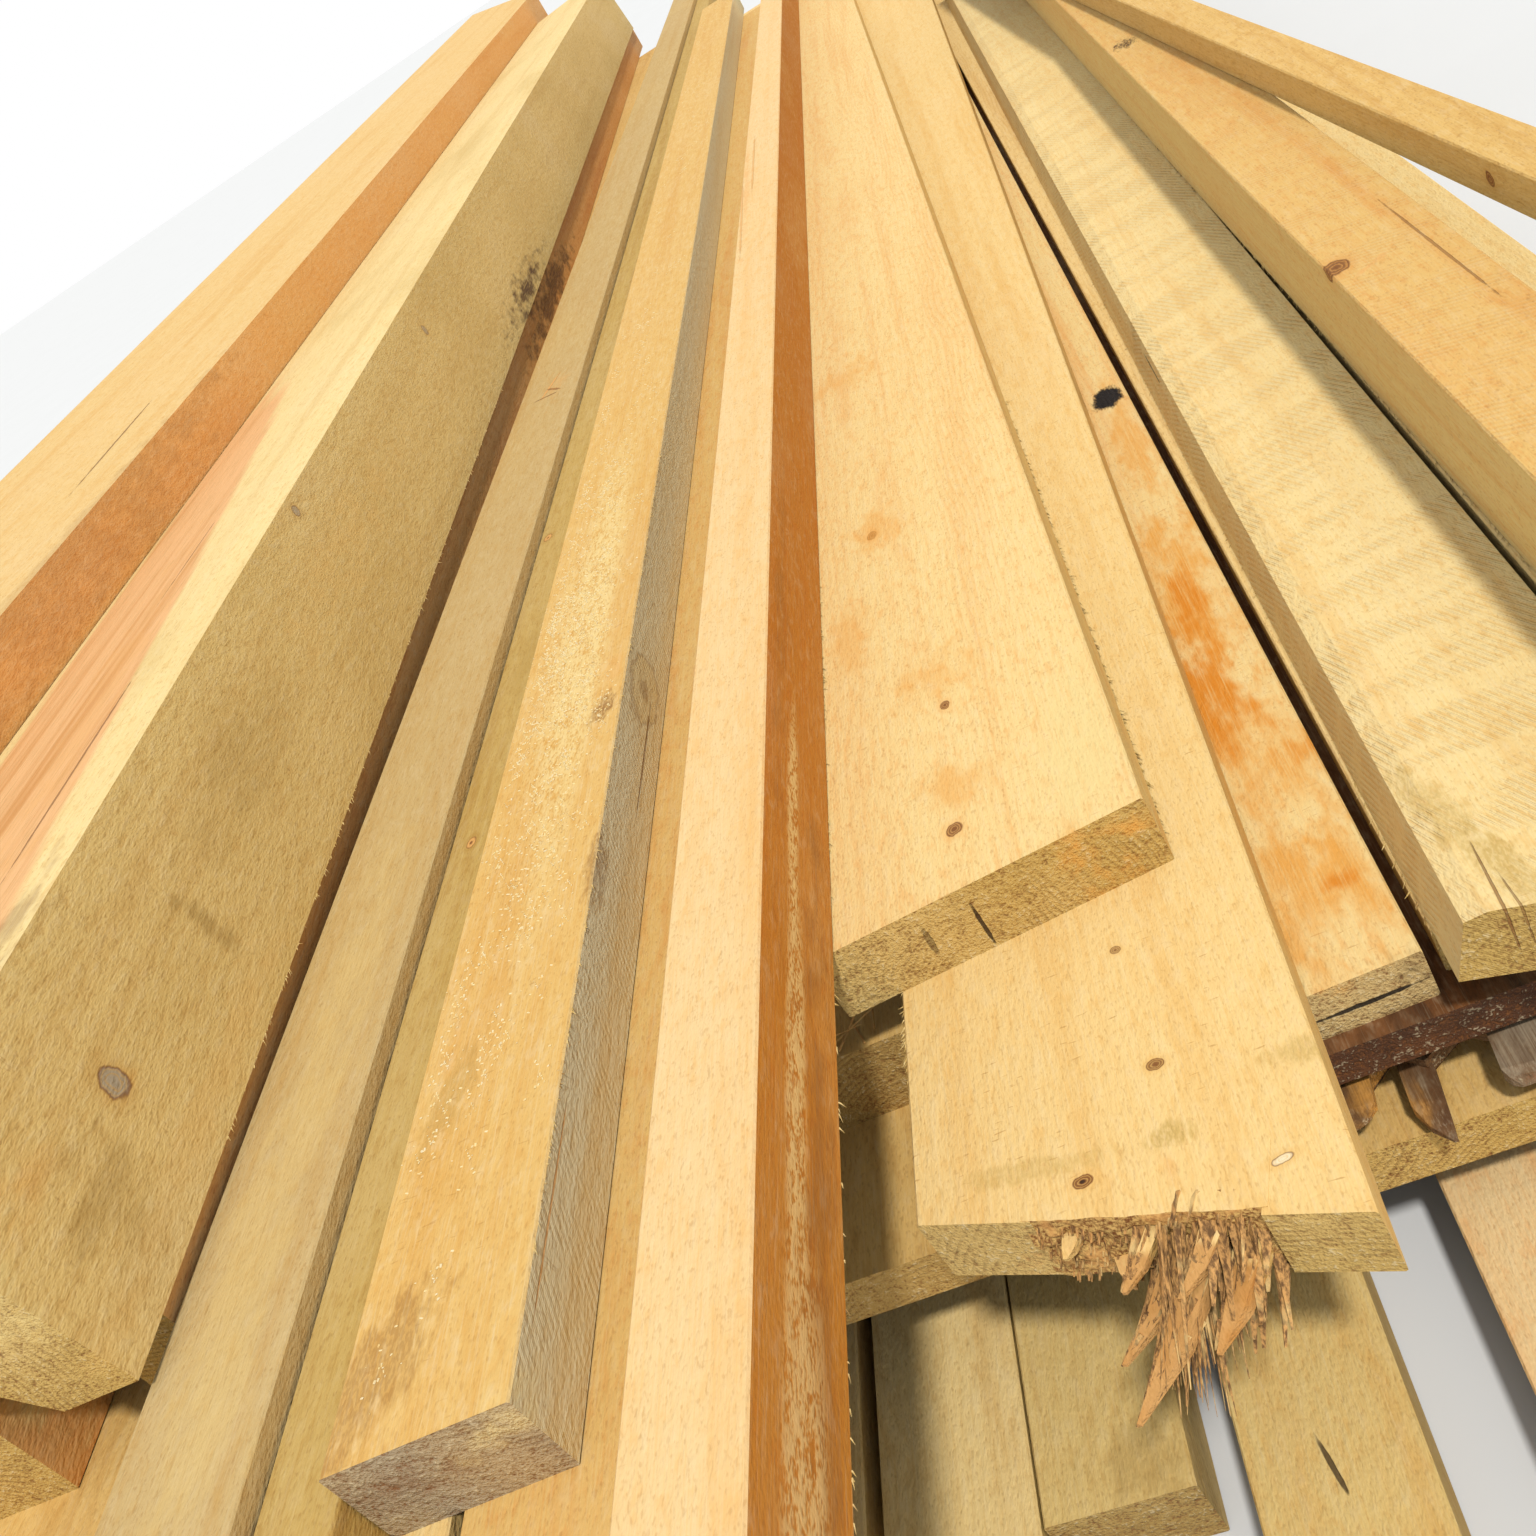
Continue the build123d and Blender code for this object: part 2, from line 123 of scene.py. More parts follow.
class Canvas:
    """The node tree of a world or a material, with short calls for its nodes."""

    def __init__(self, holder):
        holder.use_nodes = True
        self.tree = holder.node_tree
        self.tree.nodes.clear()

    def node(self, kind, inputs=None, **settings):
        """A shader node with its settings, and its inputs by name or number."""
        made = self.tree.nodes.new("ShaderNode" + kind)
        for key, value in settings.items():
            setattr(made, key, value)
        for key, value in (inputs or {}).items():
            self.put(made.inputs[key], value)
        return made

    def put(self, socket, value):
        """Links an output to a socket, or sets the socket to a number or a colour."""
        if isinstance(value, bpy.types.NodeSocket):
            self.tree.links.new(value, socket)
        elif hasattr(value, "__len__") and len(value) == 3 and socket.type == "RGBA":
            socket.default_value = (*value, 1)
        else:
            socket.default_value = value

    def math(self, operation, first, second=0.0):
        return self.node("Math", {0: first, 1: second}, operation=operation).outputs[0]

    def plus(self, first, second):
        return self.math("ADD", first, second)

    def minus(self, first, second):
        return self.math("SUBTRACT", first, second)

    def times(self, first, second):
        return self.math("MULTIPLY", first, second)

    def vector(self, operation, first, second=(0, 0, 0)):
        made = self.node("VectorMath", {0: first, 1: second}, operation=operation)
        return made.outputs["Value" if operation == "LENGTH" else "Vector"]

    def parts(self, vector):
        return self.node("SeparateXYZ", {0: vector}).outputs

    def rise(self, value, low, high, top=1.0):
        """A smooth step from 0 at low to top at high."""
        inputs = {0: value, 1: low, 2: high, 3: 0.0, 4: top}
        return self.node("MapRange", inputs, interpolation_type="SMOOTHSTEP").outputs[0]

    def mix(self, share, first, second, blend="MIX"):
        inputs = {0: share, 6: first, 7: second}
        return self.node("Mix", inputs, data_type="RGBA", blend_type=blend).outputs[2]


class Surface(Canvas):
    """The node tree of a new material."""

    def __init__(self, name):
        self.material = bpy.data.materials.new(name)
        super().__init__(self.material)
        self.sizes = bpy.context.scene.lumber_sizes
        self.place = self.node("TexCoord").outputs["Object"]

    def paint(self, key):
        """One of the timber's colours."""
        return tuple(getattr(bpy.context.scene.lumber_colours, key))

    def noise(self, cycles, detail, roughness=0.5):
        """Noise with so many cycles in a metre across, along and up."""
        place = self.vector("MULTIPLY", self.place, cycles)
        inputs = {"Vector": place, "Scale": 1, "Detail": detail, "Roughness": roughness}
        return self.node("TexNoise", inputs).outputs[0]

    def inside(self, centre, radii, turn=0):
        """How far a point is from a centre, in radii turned by degrees about the upright axis."""
        inputs = {"Vector": self.place, "Location": centre, "Rotation": (0, 0, radians(turn)),
                  "Scale": (*radii, MARK_REACH)[:3]}
        made = self.node("Mapping", inputs, vector_type="TEXTURE")
        return self.vector("LENGTH", made.outputs[0])

    def cover(self, ground, roughness, gloss, relief=None, strength=1.0, depth=0.0):
        """Ends the tree with a shader in a colour, and with a relief as its bump."""
        shader = self.node("BsdfPrincipled", {
            "Base Color": ground, "Roughness": roughness, "Specular IOR Level": gloss})
        if relief is not None:
            bump = self.node("Bump", {"Strength": strength, "Distance": depth, "Height": relief})
            self.put(shader.inputs["Normal"], bump.outputs[0])
        self.node("OutputMaterial", {"Surface": shader.outputs[0]})
        return self.material


# How far a mark reaches up and down unless it says so
MARK_REACH = 0.02

# Noises of the timber: cycles in a metre across, along and up, octaves, roughness
STREAKS = ((34, 0.9, 34), 2, 0.6)
CLOUDS = ((5.5, 1.9, 5.5), 2, 0.6)
GRIT = ((430, 170, 430), 1, 0.75)
NAP = ((120, 44, 120), 2, 0.7)
BLOTCH = ((38, 15, 38), 2, 0.65)
NICKS = ((70, 360, 70), 1, 0.55)
SWEEPS = ((7, 26, 7), 2, 0.7)
FIBRE_STRETCH = 42

# How far growth rings wander and waver, knots push them and saw marks waver, in metres
RING_WANDER = 0.06
RING_WAVER = 0.006
KNOT_PUSH = 0.016
SAW_WAVER = 0.002

# Parts of the normal at which a face becomes a top or an end
TOP_FROM = (0.45, 0.8)
END_FROM = (0.55, 0.8)

TIMBER_GLOSS = 0.28
TIMBER_ROUGHNESS = 0.88
FIBRE_SHINE = 0.22
TIMBER_BUMP = 0.85


def pit_of(tint, strength):
    """The colour of a knot's pit."""
    if tint == "white":
        return "white"
    if strength > 0.9:
        return "dark"
    return "weathered" if tint == "weathered" else "brown"


class Timber(Surface):
    """Rough-sawn timber. Its colour, ground, and its height, relief, are built up in layers."""

    def __init__(self, name, top, side, streak):
        super().__init__(name)
        fine = 1 / self.sizes.fibre
        self.fibres = self.noise((fine, fine / FIBRE_STRETCH, fine), 2, 0.62)
        self.streaks = self.noise(*STREAKS)
        self.clouds = self.noise(*CLOUDS)
        self.grit = self.noise(*GRIT)
        self.nap = self.noise(*NAP)
        self.blotch = self.noise(*BLOTCH)
        self.torn = self.times(self.plus(self.nap, self.grit), 0.5)

        normal = self.parts(self.node("NewGeometry").outputs["Normal"])
        self.up = self.rise(normal["Z"], *TOP_FROM)
        self.facing = self.rise(self.math("ABSOLUTE", normal["Y"]), *END_FROM)

        self.streak = self.paint(streak)
        self.ground = self.mix(self.up, self.paint(side), self.paint(top))
        self.darker = self.mix(0.62, self.ground, self.mix(1.0, self.ground, self.streak, "MULTIPLY"))
        self.deeper = self.mix(0.5, self.darker, self.paint("brown"))
        self.relief = self.plus(self.times(self.grit, 0.7), self.times(self.nap, 1.4))

    def lay(self, share, tint):
        """Lays a colour over the ground."""
        self.ground = self.mix(share, self.ground, tint)

    def lift(self, share, height):
        """Raises the relief, or sinks it by a height below 0."""
        self.relief = self.plus(self.relief, self.times(share, height))

    def ragged(self, distance, *noises):
        """A distance made uneven by noises, each with its weight."""
        for noise, weight in noises:
            distance = self.plus(distance, self.times(noise, weight))
        return distance

    def late_wood(self, pith, knots):
        """1 in the dark wood of growth rings that run round the pith and bend round knots."""
        across = self.vector("SUBTRACT", self.place, pith)
        radius = self.vector("LENGTH", self.vector("MULTIPLY", across, (1, 0, 1)))
        radius = self.ragged(radius, (self.clouds, RING_WANDER), (self.blotch, RING_WAVER))
        for distance in knots:
            away = self.plus(self.times(distance, distance), 1)
            radius = self.plus(radius, self.math("DIVIDE", KNOT_PUSH, away))
        year = self.math("FRACT", self.math("DIVIDE", radius, self.sizes.ring))
        late = self.times(self.rise(year, 0.35, 0.9), self.minus(1, self.rise(year, 0.92, 1)))
        return self.times(late, self.rise(self.streaks, 0.28, 0.72))

    def add_grain(self, late, ring_depth, streak_share, drift, fuzz):
        """Growth rings, streaks, drifts, open grain and pale fuzz."""
        self.lay(self.times(late, ring_depth), self.darker)
        self.lay(self.rise(self.streaks, 0.48, 0.75, streak_share), self.darker)
        self.lay(self.rise(self.clouds, 0.45, 0.75, drift), self.mix(0.55, self.ground, self.streak))
        self.paler = self.mix(0.4, self.ground, self.paint("white"))
        self.lay(self.rise(self.clouds, 0.5, 0.25, drift * 0.6), self.paler)
        self.lay(self.rise(self.fibres, 0.5, 0.25, 0.35), self.darker)
        self.lay(self.rise(self.nap, 0.48, 0.3, 0.42), self.darker)
        self.lay(self.rise(self.grit, 0.44, 0.26, 0.36), self.deeper)
        self.lay(self.rise(self.fibres, 0.52, 0.72, fuzz), self.paler)
        self.lay(self.rise(self.nap, 0.52, 0.72, fuzz), self.paler)

    def add_dashes(self, strength):
        """Short dark nicks across the grain."""
        nicks = self.rise(self.noise(*NICKS), 0.67, 0.74)
        nicks = self.times(nicks, self.rise(self.blotch, 0.46, 0.6))
        self.lay(self.times(nicks, strength), self.deeper)

    def add_saw_marks(self, strength, lean, face):
        """Dark grooves and pale ridges in patches, on the top, the side or all faces."""
        x, y, z = self.parts(self.place)
        course = self.plus(y, self.times(self.plus(x, z), lean))
        course = self.ragged(course, (self.nap, SAW_WAVER))
        pitch = self.sizes.saw_pitch * (1 + lean * lean) ** 0.5
        wave = self.math("SINE", self.times(course, 2 * pi / pitch))
        swept = self.rise(self.noise(*SWEEPS), 0.40, 0.60)
        if face == "top":
            swept = self.times(swept, self.up)
        elif face == "side":
            swept = self.times(swept, self.minus(1, self.up))
        swept = self.times(swept, strength)
        groove = self.times(self.rise(wave, 0.45, 1.0), swept)
        ridge = self.times(self.rise(wave, -0.7, -1.0), swept)
        self.lay(groove, self.darker)
        self.lay(ridge, self.paler)
        self.lift(self.minus(ridge, groove), 0.8)

    def add_end_grain(self, late, end, top, rough):
        """Growth rings and torn fibres on the end cuts."""
        cut = self.mix(self.rise(self.clouds, 0.35, 0.65, 0.55), self.paint(end),
                       self.mix(0.6, self.paint(end), self.paint(top)))
        cut = self.mix(self.times(late, 0.4), cut, self.mix(1.0, cut, self.paint("rot"), "MULTIPLY"))
        cut = self.mix(self.rise(self.torn, 0.5, 0.32, rough), cut, self.paint("brown"))
        pale = self.mix(0.5, cut, self.paint("white"))
        cut = self.mix(self.rise(self.torn, 0.55, 0.68, 0.8), cut, pale)
        self.lay(self.facing, cut)
        self.lift(self.times(self.torn, self.facing), 2.2)

    def add_knot(self, distance, tint, strength):
        """A ringed knot with a halo of darker wood, a brown rim and a pit."""
        self.lay(self.rise(distance, 2.3, 0.9, 0.5 * strength), self.darker)
        wavy = self.ragged(distance, (self.minus(self.nap, 0.3), 0.7))
        ringed = self.math("FRACT", self.times(wavy, 3.2))
        self.lay(self.rise(wavy, 1.12, 0.98, strength),
                 self.mix(self.rise(ringed, 0.4, 0.9, 0.5), self.paint(tint), self.darker))
        rim = self.times(self.rise(wavy, 0.9, 1.02), self.rise(wavy, 1.22, 1.06))
        self.lay(self.times(rim, 0.75 * strength), self.paint("brown"))
        pit = self.ragged(distance, (self.nap, 0.5))
        self.lay(self.rise(pit, 0.62, 0.42, strength), self.paint(pit_of(tint, strength)))

    def add_stain(self, distance, tint, strength):
        """A stain that soaks along the fibres."""
        wavy = self.ragged(distance, (self.blotch, 2.4), (self.streaks, 1.2), (self.nap, 0.7))
        soak = self.times(self.rise(wavy, 3.1, 2.2), self.rise(self.fibres, 0.1, 0.6, strength))
        self.lay(soak, self.paint(tint))

    def add_spot(self, distance, tint, strength):
        """A worn spot, broken up by grit."""
        wavy = self.ragged(distance, (self.nap, 2.2))
        worn = self.times(self.rise(wavy, 2.3, 1.6), self.rise(self.grit, 0.2, 0.62, strength))
        self.lay(worn, self.paint(tint))

    def add_field(self, distance, tint, strength):
        """A field of other wood, with fibres and streaks of its own."""
        wavy = self.ragged(distance, (self.streaks, 0.25))
        inner = self.mix(self.rise(self.fibres, 0.55, 0.25, 0.55), self.paint(tint), self.deeper)
        inner = self.mix(self.rise(self.streaks, 0.45, 0.7, 0.6), inner,
                         self.mix(1.0, self.paint(tint), self.streak, "MULTIPLY"))
        self.lay(self.rise(wavy, 1.18, 1.08, strength), inner)

    def add_fuzz(self, distance, tint, strength):
        """Raised tufts of fibre."""
        wavy = self.plus(distance, self.streaks)
        tuft = self.times(self.rise(wavy, 1.7, 0.9), self.rise(self.torn, 0.40, 0.54, strength))
        self.lay(tuft, self.paint(tint))
        self.lift(tuft, 0.35)

    def add_check(self, distance, tint, strength):
        """A crack or a hole, sunk into the wood."""
        cut = self.rise(self.ragged(distance, (self.nap, 0.8)), 1.35, 1.05, strength)
        self.lay(cut, self.paint(tint))
        self.lift(cut, -1.5)


# Marks of the nodes: kind, centre, radii across, along and up (20 mm where left out), colour,
# strength, turn in degrees (0 where left out)
MARKS = {}
MARKS["left_cant"] = (
    ("check", (-0.684, -1.56, 0.78), (0.0022, 0.21, 0.03), "brown", 0.75, 2.9),
    ("stain", (-0.6, -1.9, 0.74), (0.02, 0.7, 0.1), "brown", 0.25, 1.6),
)
MARKS["tall_cant"] = (
    ("field", (-0.545, -2.02, 0.69), (0.135, 6.0, 0.014), "pink", 0.95, 7.8),
    ("stain", (-0.42, -2.3, 0.69), (0.06, 0.5), "orange", 0.4, 7.8),
    ("check", (-0.36, -2.5, 0.69), (0.0026, 0.2, 0.01), "brown", 0.7, 2.2),
    ("check", (-0.44, -2.0, 0.69), (0.0022, 0.17, 0.01), "brown", 0.6, 1.0),
    ("stain", (-0.29, -2.77, 0.69), (0.02, 0.1), "brown", 0.5),
    ("stain", (-0.2606, -2.83, 0.574), (0.03, 0.024, 0.026), "amber", 0.55),
    ("stain", (-0.27, -2.95, 0.6), (0.03, 0.05, 0.03), "amber", 0.35),
    ("knot", (-0.2606, -2.835, 0.574), (0.03, 0.0135, 0.0145), "weathered", 0.9),
    ("knot", (-0.286, -2.001, 0.668), (0.03, 0.0085, 0.008), "weathered", 0.8),
    ("knot", (-0.309, -1.249, 0.636), (0.03, 0.009, 0.008), "weathered", 0.7),
    ("stain", (-0.265, -2.64, 0.565), (0.03, 0.016, 0.04), "dark_olive", 0.75),
    ("stain", (-0.265, -2.93, 0.53), (0.03, 0.07, 0.07), "dark_olive", 0.6),
    ("stain", (-0.275, -2.45, 0.6), (0.03, 0.25, 0.05), "dark_olive", 0.35),
    ("stain", (-0.262, -2.8, 0.5), (0.03, 0.3), "golden", 0.5),
    ("stain", (-0.28, -1.9, 0.6), (0.03, 0.5, 0.06), "golden", 0.5),
    ("stain", (-0.31, -0.62, 0.5), (0.05, 0.34, 0.035), "bark", 0.95),
    ("stain", (-0.29, -3.02, 0.6), (0.09, 0.02, 0.07), "green_grey", 0.7),
)
MARKS["cant_bearer"] = (("stain", (-0.39, -2.98, 0.45), (0.03, 0.03, 0.05), "green_grey", 0.6),)
MARKS["packing_strip"] = (("stain", (-0.33, -0.5, 0.43), (0.03, 0.5, 0.06), "bark", 0.85),)
MARKS["grey_board"] = (
    ("check", (-0.198, -1.235, 0.455), (0.0035, 0.05), "orange", 0.9, -14),
    ("check", (-0.187, -1.255, 0.455), (0.0035, 0.03), "brown", 0.9, 40),
    ("check", (-0.2, -1.275, 0.455), (0.003, 0.03), "brown", 0.8, 74),
    ("stain", (-0.19, -1.25, 0.455), (0.03, 0.09), "orange", 0.4),
    ("stain", (-0.19, -2.9, 0.455), (0.05, 0.5), "tan", 0.4),
)
MARKS["olive_strip"] = (
    ("knot", (-0.12, -1.839, 0.439), (0.006, 0.0095), "orange", 0.9),
    ("knot", (-0.108, -2.494, 0.439), (0.0055, 0.0085), "orange", 0.9),
    ("stain", (-0.1, -2.15, 0.439), (0.03, 0.12), "dark_olive", 0.4),
)
MARKS["dusty_beam"] = (
    ("knot", (0.064, -2.345, 0.428), (0.012, 0.06, 0.026), "tan", 0.4),
    ("stain", (0.05, -2.33, 0.461), (0.02, 0.06, 0.01), "orange", 0.3),
    ("spot", (0.043, -2.41, 0.461), (0.013, 0.026), "brown", 0.7, -18),
    ("spot", (0.062, -2.655, 0.458), (0.008, 0.045, 0.016), "brown", 0.5),
    ("spot", (-0.034, -2.865, 0.461), (0.018, 0.05), "dark_olive", 0.4, -12),
    ("spot", (-0.045, -3.085, 0.461), (0.034, 0.07), "brown", 0.42, -30),
    ("fuzz", (-0.005, -2.25, 0.461), (0.045, 0.5), "dust", 0.55),
    ("check", (0.064, -2.99, 0.45), (0.01, 0.1, 0.0012), "orange", 0.8),
    ("check", (0.064, -2.45, 0.415), (0.01, 0.12, 0.0014), "brown", 0.7),
    ("stain", (-0.03, -3.13, 0.43), (0.06, 0.04, 0.022), "brown", 0.5),
    ("stain", (0.05, -3.13, 0.44), (0.05, 0.04), "dust", 0.6),
)
MARKS["centre_beam"] = (
    ("stain", (0.192, -0.95, 0.494), (0.01, 0.42, 0.01), "orange", 0.55, 0.4),
    ("check", (0.186, -1.05, 0.494), (0.0022, 0.3, 0.01), "orange", 0.7, 0.6),
    ("check", (0.204, -0.72, 0.494), (0.0022, 0.26, 0.01), "orange", 0.7),
    ("stain", (0.237, -3.1, 0.42), (0.02, 0.5, 0.024), "brown", 0.45),
    ("stain", (0.238, -2.45, 0.47), (0.02, 0.5), "brown", 0.3),
    ("fuzz", (0.24, -2.68, 0.45), (0.02, 0.15, 0.01), "cream", 0.85),
    ("fuzz", (0.239, -2.94, 0.446), (0.02, 0.18, 0.014), "cream", 0.75),
    ("fuzz", (0.238, -3.24, 0.44), (0.02, 0.2, 0.024), "cream", 0.6),
)
MARKS["low_strip"] = (("check", (0.14, -2.6, 0.39), (0.0022, 0.5), "brown", 0.6),)
MARKS["wide_plank"] = (
    ("knot", (0.354, -2.549, 0.39), (0.0045, 0.0065), "brown", 0.9),
    ("knot", (0.345, -2.714, 0.39), (0.0065, 0.0075), "brown", 0.9),
    ("knot", (0.307, -2.183, 0.39), (0.0055, 0.009), "brown", 0.85),
    ("stain", (0.352, -2.5, 0.39), (0.042, 0.05), "amber", 0.65, -8),
    ("stain", (0.312, -2.17, 0.39), (0.055, 0.05), "amber", 0.6, 18),
    ("stain", (0.27, -2.36, 0.39), (0.03, 0.08), "amber", 0.5),
    ("stain", (0.35, -2.66, 0.39), (0.04, 0.04), "amber", 0.6),
    ("stain", (0.3, -1.7, 0.39), (0.07, 0.06), "amber", 0.5, 24),
    ("stain", (0.455, -2.68, 0.39), (0.05, 0.12), "green_grey", 0.6),
    ("check", (0.303, -2.78, 0.36), (0.003, 0.1, 0.018), "dark", 0.5),
    ("check", (0.342, -2.785, 0.35), (0.0018, 0.025, 0.026), "dark", 0.9),
    ("stain", (0.46, -2.79, 0.36), (0.06, 0.03, 0.06), "amber", 0.8),
)
MARKS["broken_plank"] = (
    ("knot", (0.483, -3.039, 0.328), (0.0072, 0.0032), "white", 0.95, 12),
    ("knot", (0.368, -3.008, 0.328), (0.007, 0.005), "brown", 0.95),
    ("knot", (0.429, -2.941, 0.328), (0.006, 0.0045), "brown", 0.85),
    ("knot", (0.424, -2.832, 0.328), (0.004, 0.004), "brown", 0.7),
    ("knot", (0.415, -2.44, 0.328), (0.004, 0.006), "brown", 0.6),
    ("spot", (0.425, -2.996, 0.328), (0.019, 0.011), "olive", 0.8),
    ("spot", (0.335, -2.985, 0.328), (0.055, 0.009), "olive", 0.5, -10),
    ("spot", (0.52, -2.97, 0.328), (0.03, 0.012), "olive", 0.6, -10),
    ("stain", (0.38, -3.03, 0.29), (0.07, 0.05, 0.036), "orange", 0.7),
    ("field", (0.4, -3.135, 0.29), (0.14, 0.0725, 0.2), "splinter", 1.0, -17.8),
)
MARKS["stained_plank"] = (
    ("stain", (0.555, -2.36, 0.271), (0.06, 0.22), "amber", 0.9),
    ("stain", (0.56, -2.6, 0.271), (0.06, 0.22), "amber", 0.8, 8),
    ("stain", (0.545, -2.5, 0.271), (0.045, 0.17), "rust", 0.9, 8),
    ("stain", (0.565, -2.36, 0.271), (0.02, 0.06), "rust", 0.9),
    ("stain", (0.56, -2.8, 0.271), (0.07, 0.09), "amber", 0.8),
    ("stain", (0.575, -2.79, 0.271), (0.016, 0.012), "rust", 0.9),
    ("stain", (0.585, -2.02, 0.271), (0.03, 0.25), "amber", 0.8),
    ("check", (0.58, -1.877, 0.271), (0.021, 0.036), "black", 1.0),
    ("spot", (0.543, -1.885, 0.271), (0.01, 0.006), "dark", 0.9),
    ("check", (0.56, -2.88, 0.245), (0.045, 0.05, 0.0025), "black", 0.95),
    ("stain", (0.6, -2.9, 0.25), (0.03, 0.05, 0.03), "black", 0.8),
)
MARKS["saw_marked_plank"] = (
    ("check", (0.636, -1.95, 0.31), (0.02, 0.06, 0.0014), "dark", 0.9),
    ("stain", (0.625, -1.83, 0.3), (0.02, 0.08), "dark_olive", 0.5),
    ("spot", (0.65, -2.83, 0.328), (0.014, 0.08), "olive", 0.55, 14),
    ("spot", (0.668, -2.9, 0.328), (0.012, 0.06), "olive", 0.5, 10),
    ("check", (0.652, -2.93, 0.328), (0.0011, 0.09, 0.05), "brown", 0.7, -3),
    ("check", (0.662, -2.95, 0.328), (0.001, 0.07, 0.05), "brown", 0.6, 2),
    ("stain", (0.66, -2.95, 0.31), (0.04, 0.02, 0.04), "orange", 0.5),
)
MARKS["right_beam"] = (
    ("knot", (0.8, -2.25, 0.446), (0.012, 0.016, 0.012), "brown", 0.9),
    ("stain", (0.82, -2.28, 0.448), (0.024, 0.005), "orange", 0.7, 30),
    ("spot", (0.821, -1.165, 0.448), (0.016, 0.03), "dark", 0.85),
    ("stain", (0.793, -1.7, 0.4), (0.02, 0.5, 0.06), "green_grey", 0.4),
    ("check", (0.87, -2.3, 0.448), (0.0014, 0.16), "brown", 0.6),
)
MARKS["crossing_beam"] = (
    ("knot", (0.934, -2.285, 0.47), (0.012, 0.008, 0.008), "brown", 0.95),
    ("stain", (0.93, -2.0, 0.46), (0.02, 0.3, 0.03), "green_grey", 0.4),
)
MARKS["floor_board_3"] = (("check", (0.418, -3.066, 0.065), (0.0022, 0.026), "dark", 0.85, 12),)
MARKS["floor_board_2"] = (("stain", (0.3, -3.03, 0.065), (0.06, 0.03, 0.03), "dark_olive", 0.5),)
MARKS["bark_board"] = (("stain", (0.6, -2.88, 0.22), (0.1, 0.05, 0.03), "black", 0.5),)
MARKS["rotten_plank"] = (
    ("stain", (0.545, -2.9, 0.18), (0.03, 0.05, 0.03), "amber", 0.7),
    ("stain", (0.64, -2.9, 0.18), (0.06, 0.06, 0.04), "weathered", 0.6),
)


def middle_of(node):
    """The middle of a CAD node's near end, in metres."""
    low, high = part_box(node)
    return Vector(((low.x + high.x) / 2, low.y, (low.z + high.z) / 2))


def finish(node, top, side, end, streak, pith=(0.03, -0.12), ring_depth=0.3, streak_share=0.5,
           drift=0.35, saw=None, dashes=0.0, fuzz=0.3, end_rough=0.5):
    """Gives a CAD node its timber, in four colours and with its marks.

    pith is across and up from the middle of the near end. saw is the saw marks' strength, lean
    and face. The rest are strengths.
    """
    wood = Timber(node, top, side, streak)
    marks = [(kind, wood.inside(centre, radii, *turn), tint, strength)
             for kind, centre, radii, tint, strength, *turn in MARKS.get(node, ())]
    heart = middle_of(node)
    late = wood.late_wood((heart.x + pith[0], 0, heart.z + pith[1]),
                          [distance for kind, distance, _, _ in marks if kind == "knot"])
    wood.add_grain(late, ring_depth, streak_share, drift, fuzz)
    if dashes:
        wood.add_dashes(dashes)
    if saw:
        wood.add_saw_marks(*saw)
    wood.add_end_grain(late, end, top, end_rough)
    for kind, distance, tint, strength in marks:
        getattr(wood, f"add_{kind}")(distance, tint, strength)
    shine = wood.rise(wood.fibres, 0.2, 0.85, FIBRE_SHINE)
    wood.cover(wood.ground, wood.minus(TIMBER_ROUGHNESS, shine), TIMBER_GLOSS,
               wood.relief, TIMBER_BUMP, wood.sizes.relief)
    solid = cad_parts[node]
    solid.data.materials.clear()
    solid.data.materials.append(wood.material)


class LUMBER_OT_finish_cants(bpy.types.Operator):
    """Finish the two cants at the left and the beams that carry them"""
    bl_idname = "lumber.finish_cants"
    bl_label = "Finish cants"

    def execute(self, context):
        finish("left_cant", "cream", "orange", "olive", "tan", pith=(0.05, -0.02), ring_depth=0.35,
               dashes=0.15)
        finish("tall_cant", "pale", "tan", "olive", "olive", pith=(-0.16, 0.0), ring_depth=0.16,
               streak_share=0.3, drift=0.7, dashes=0.3, fuzz=0.35, end_rough=0.8)
        finish("cant_bearer", "golden", "orange", "olive", "orange", end_rough=0.7)
        finish("packing_strip", "golden", "orange", "olive", "deep_orange")
        finish("outer_bearer", "golden", "tan", "dark_olive", "olive", end_rough=0.7)
        return {"FINISHED"}


class LUMBER_OT_finish_middle(bpy.types.Operator):
    """Finish the boards and beams on top of the middle"""
    bl_idname = "lumber.finish_middle"
    bl_label = "Finish middle boards"

    def execute(self, context):
        finish("grey_board", "dun", "dun", "weathered", "tan", pith=(0.1, -0.3), dashes=0.15)
        finish("olive_strip", "olive", "olive", "dark_olive", "olive", ring_depth=0.4, streak_share=0.6,
               fuzz=0.2)
        finish("dusty_beam", "golden", "grey_tan", "weathered", "tan", pith=(-0.02, -0.2),
               ring_depth=0.35, saw=(0.28, -1.0, "side"), dashes=0.4, fuzz=0.5, end_rough=0.8)
        finish("centre_beam", "pinkish", "deep_orange", "olive", "salmon", pith=(0.02, -0.3), dashes=0.15)
        finish("low_strip", "golden", "orange", "olive", "orange", ring_depth=0.4)
        return {"FINISHED"}


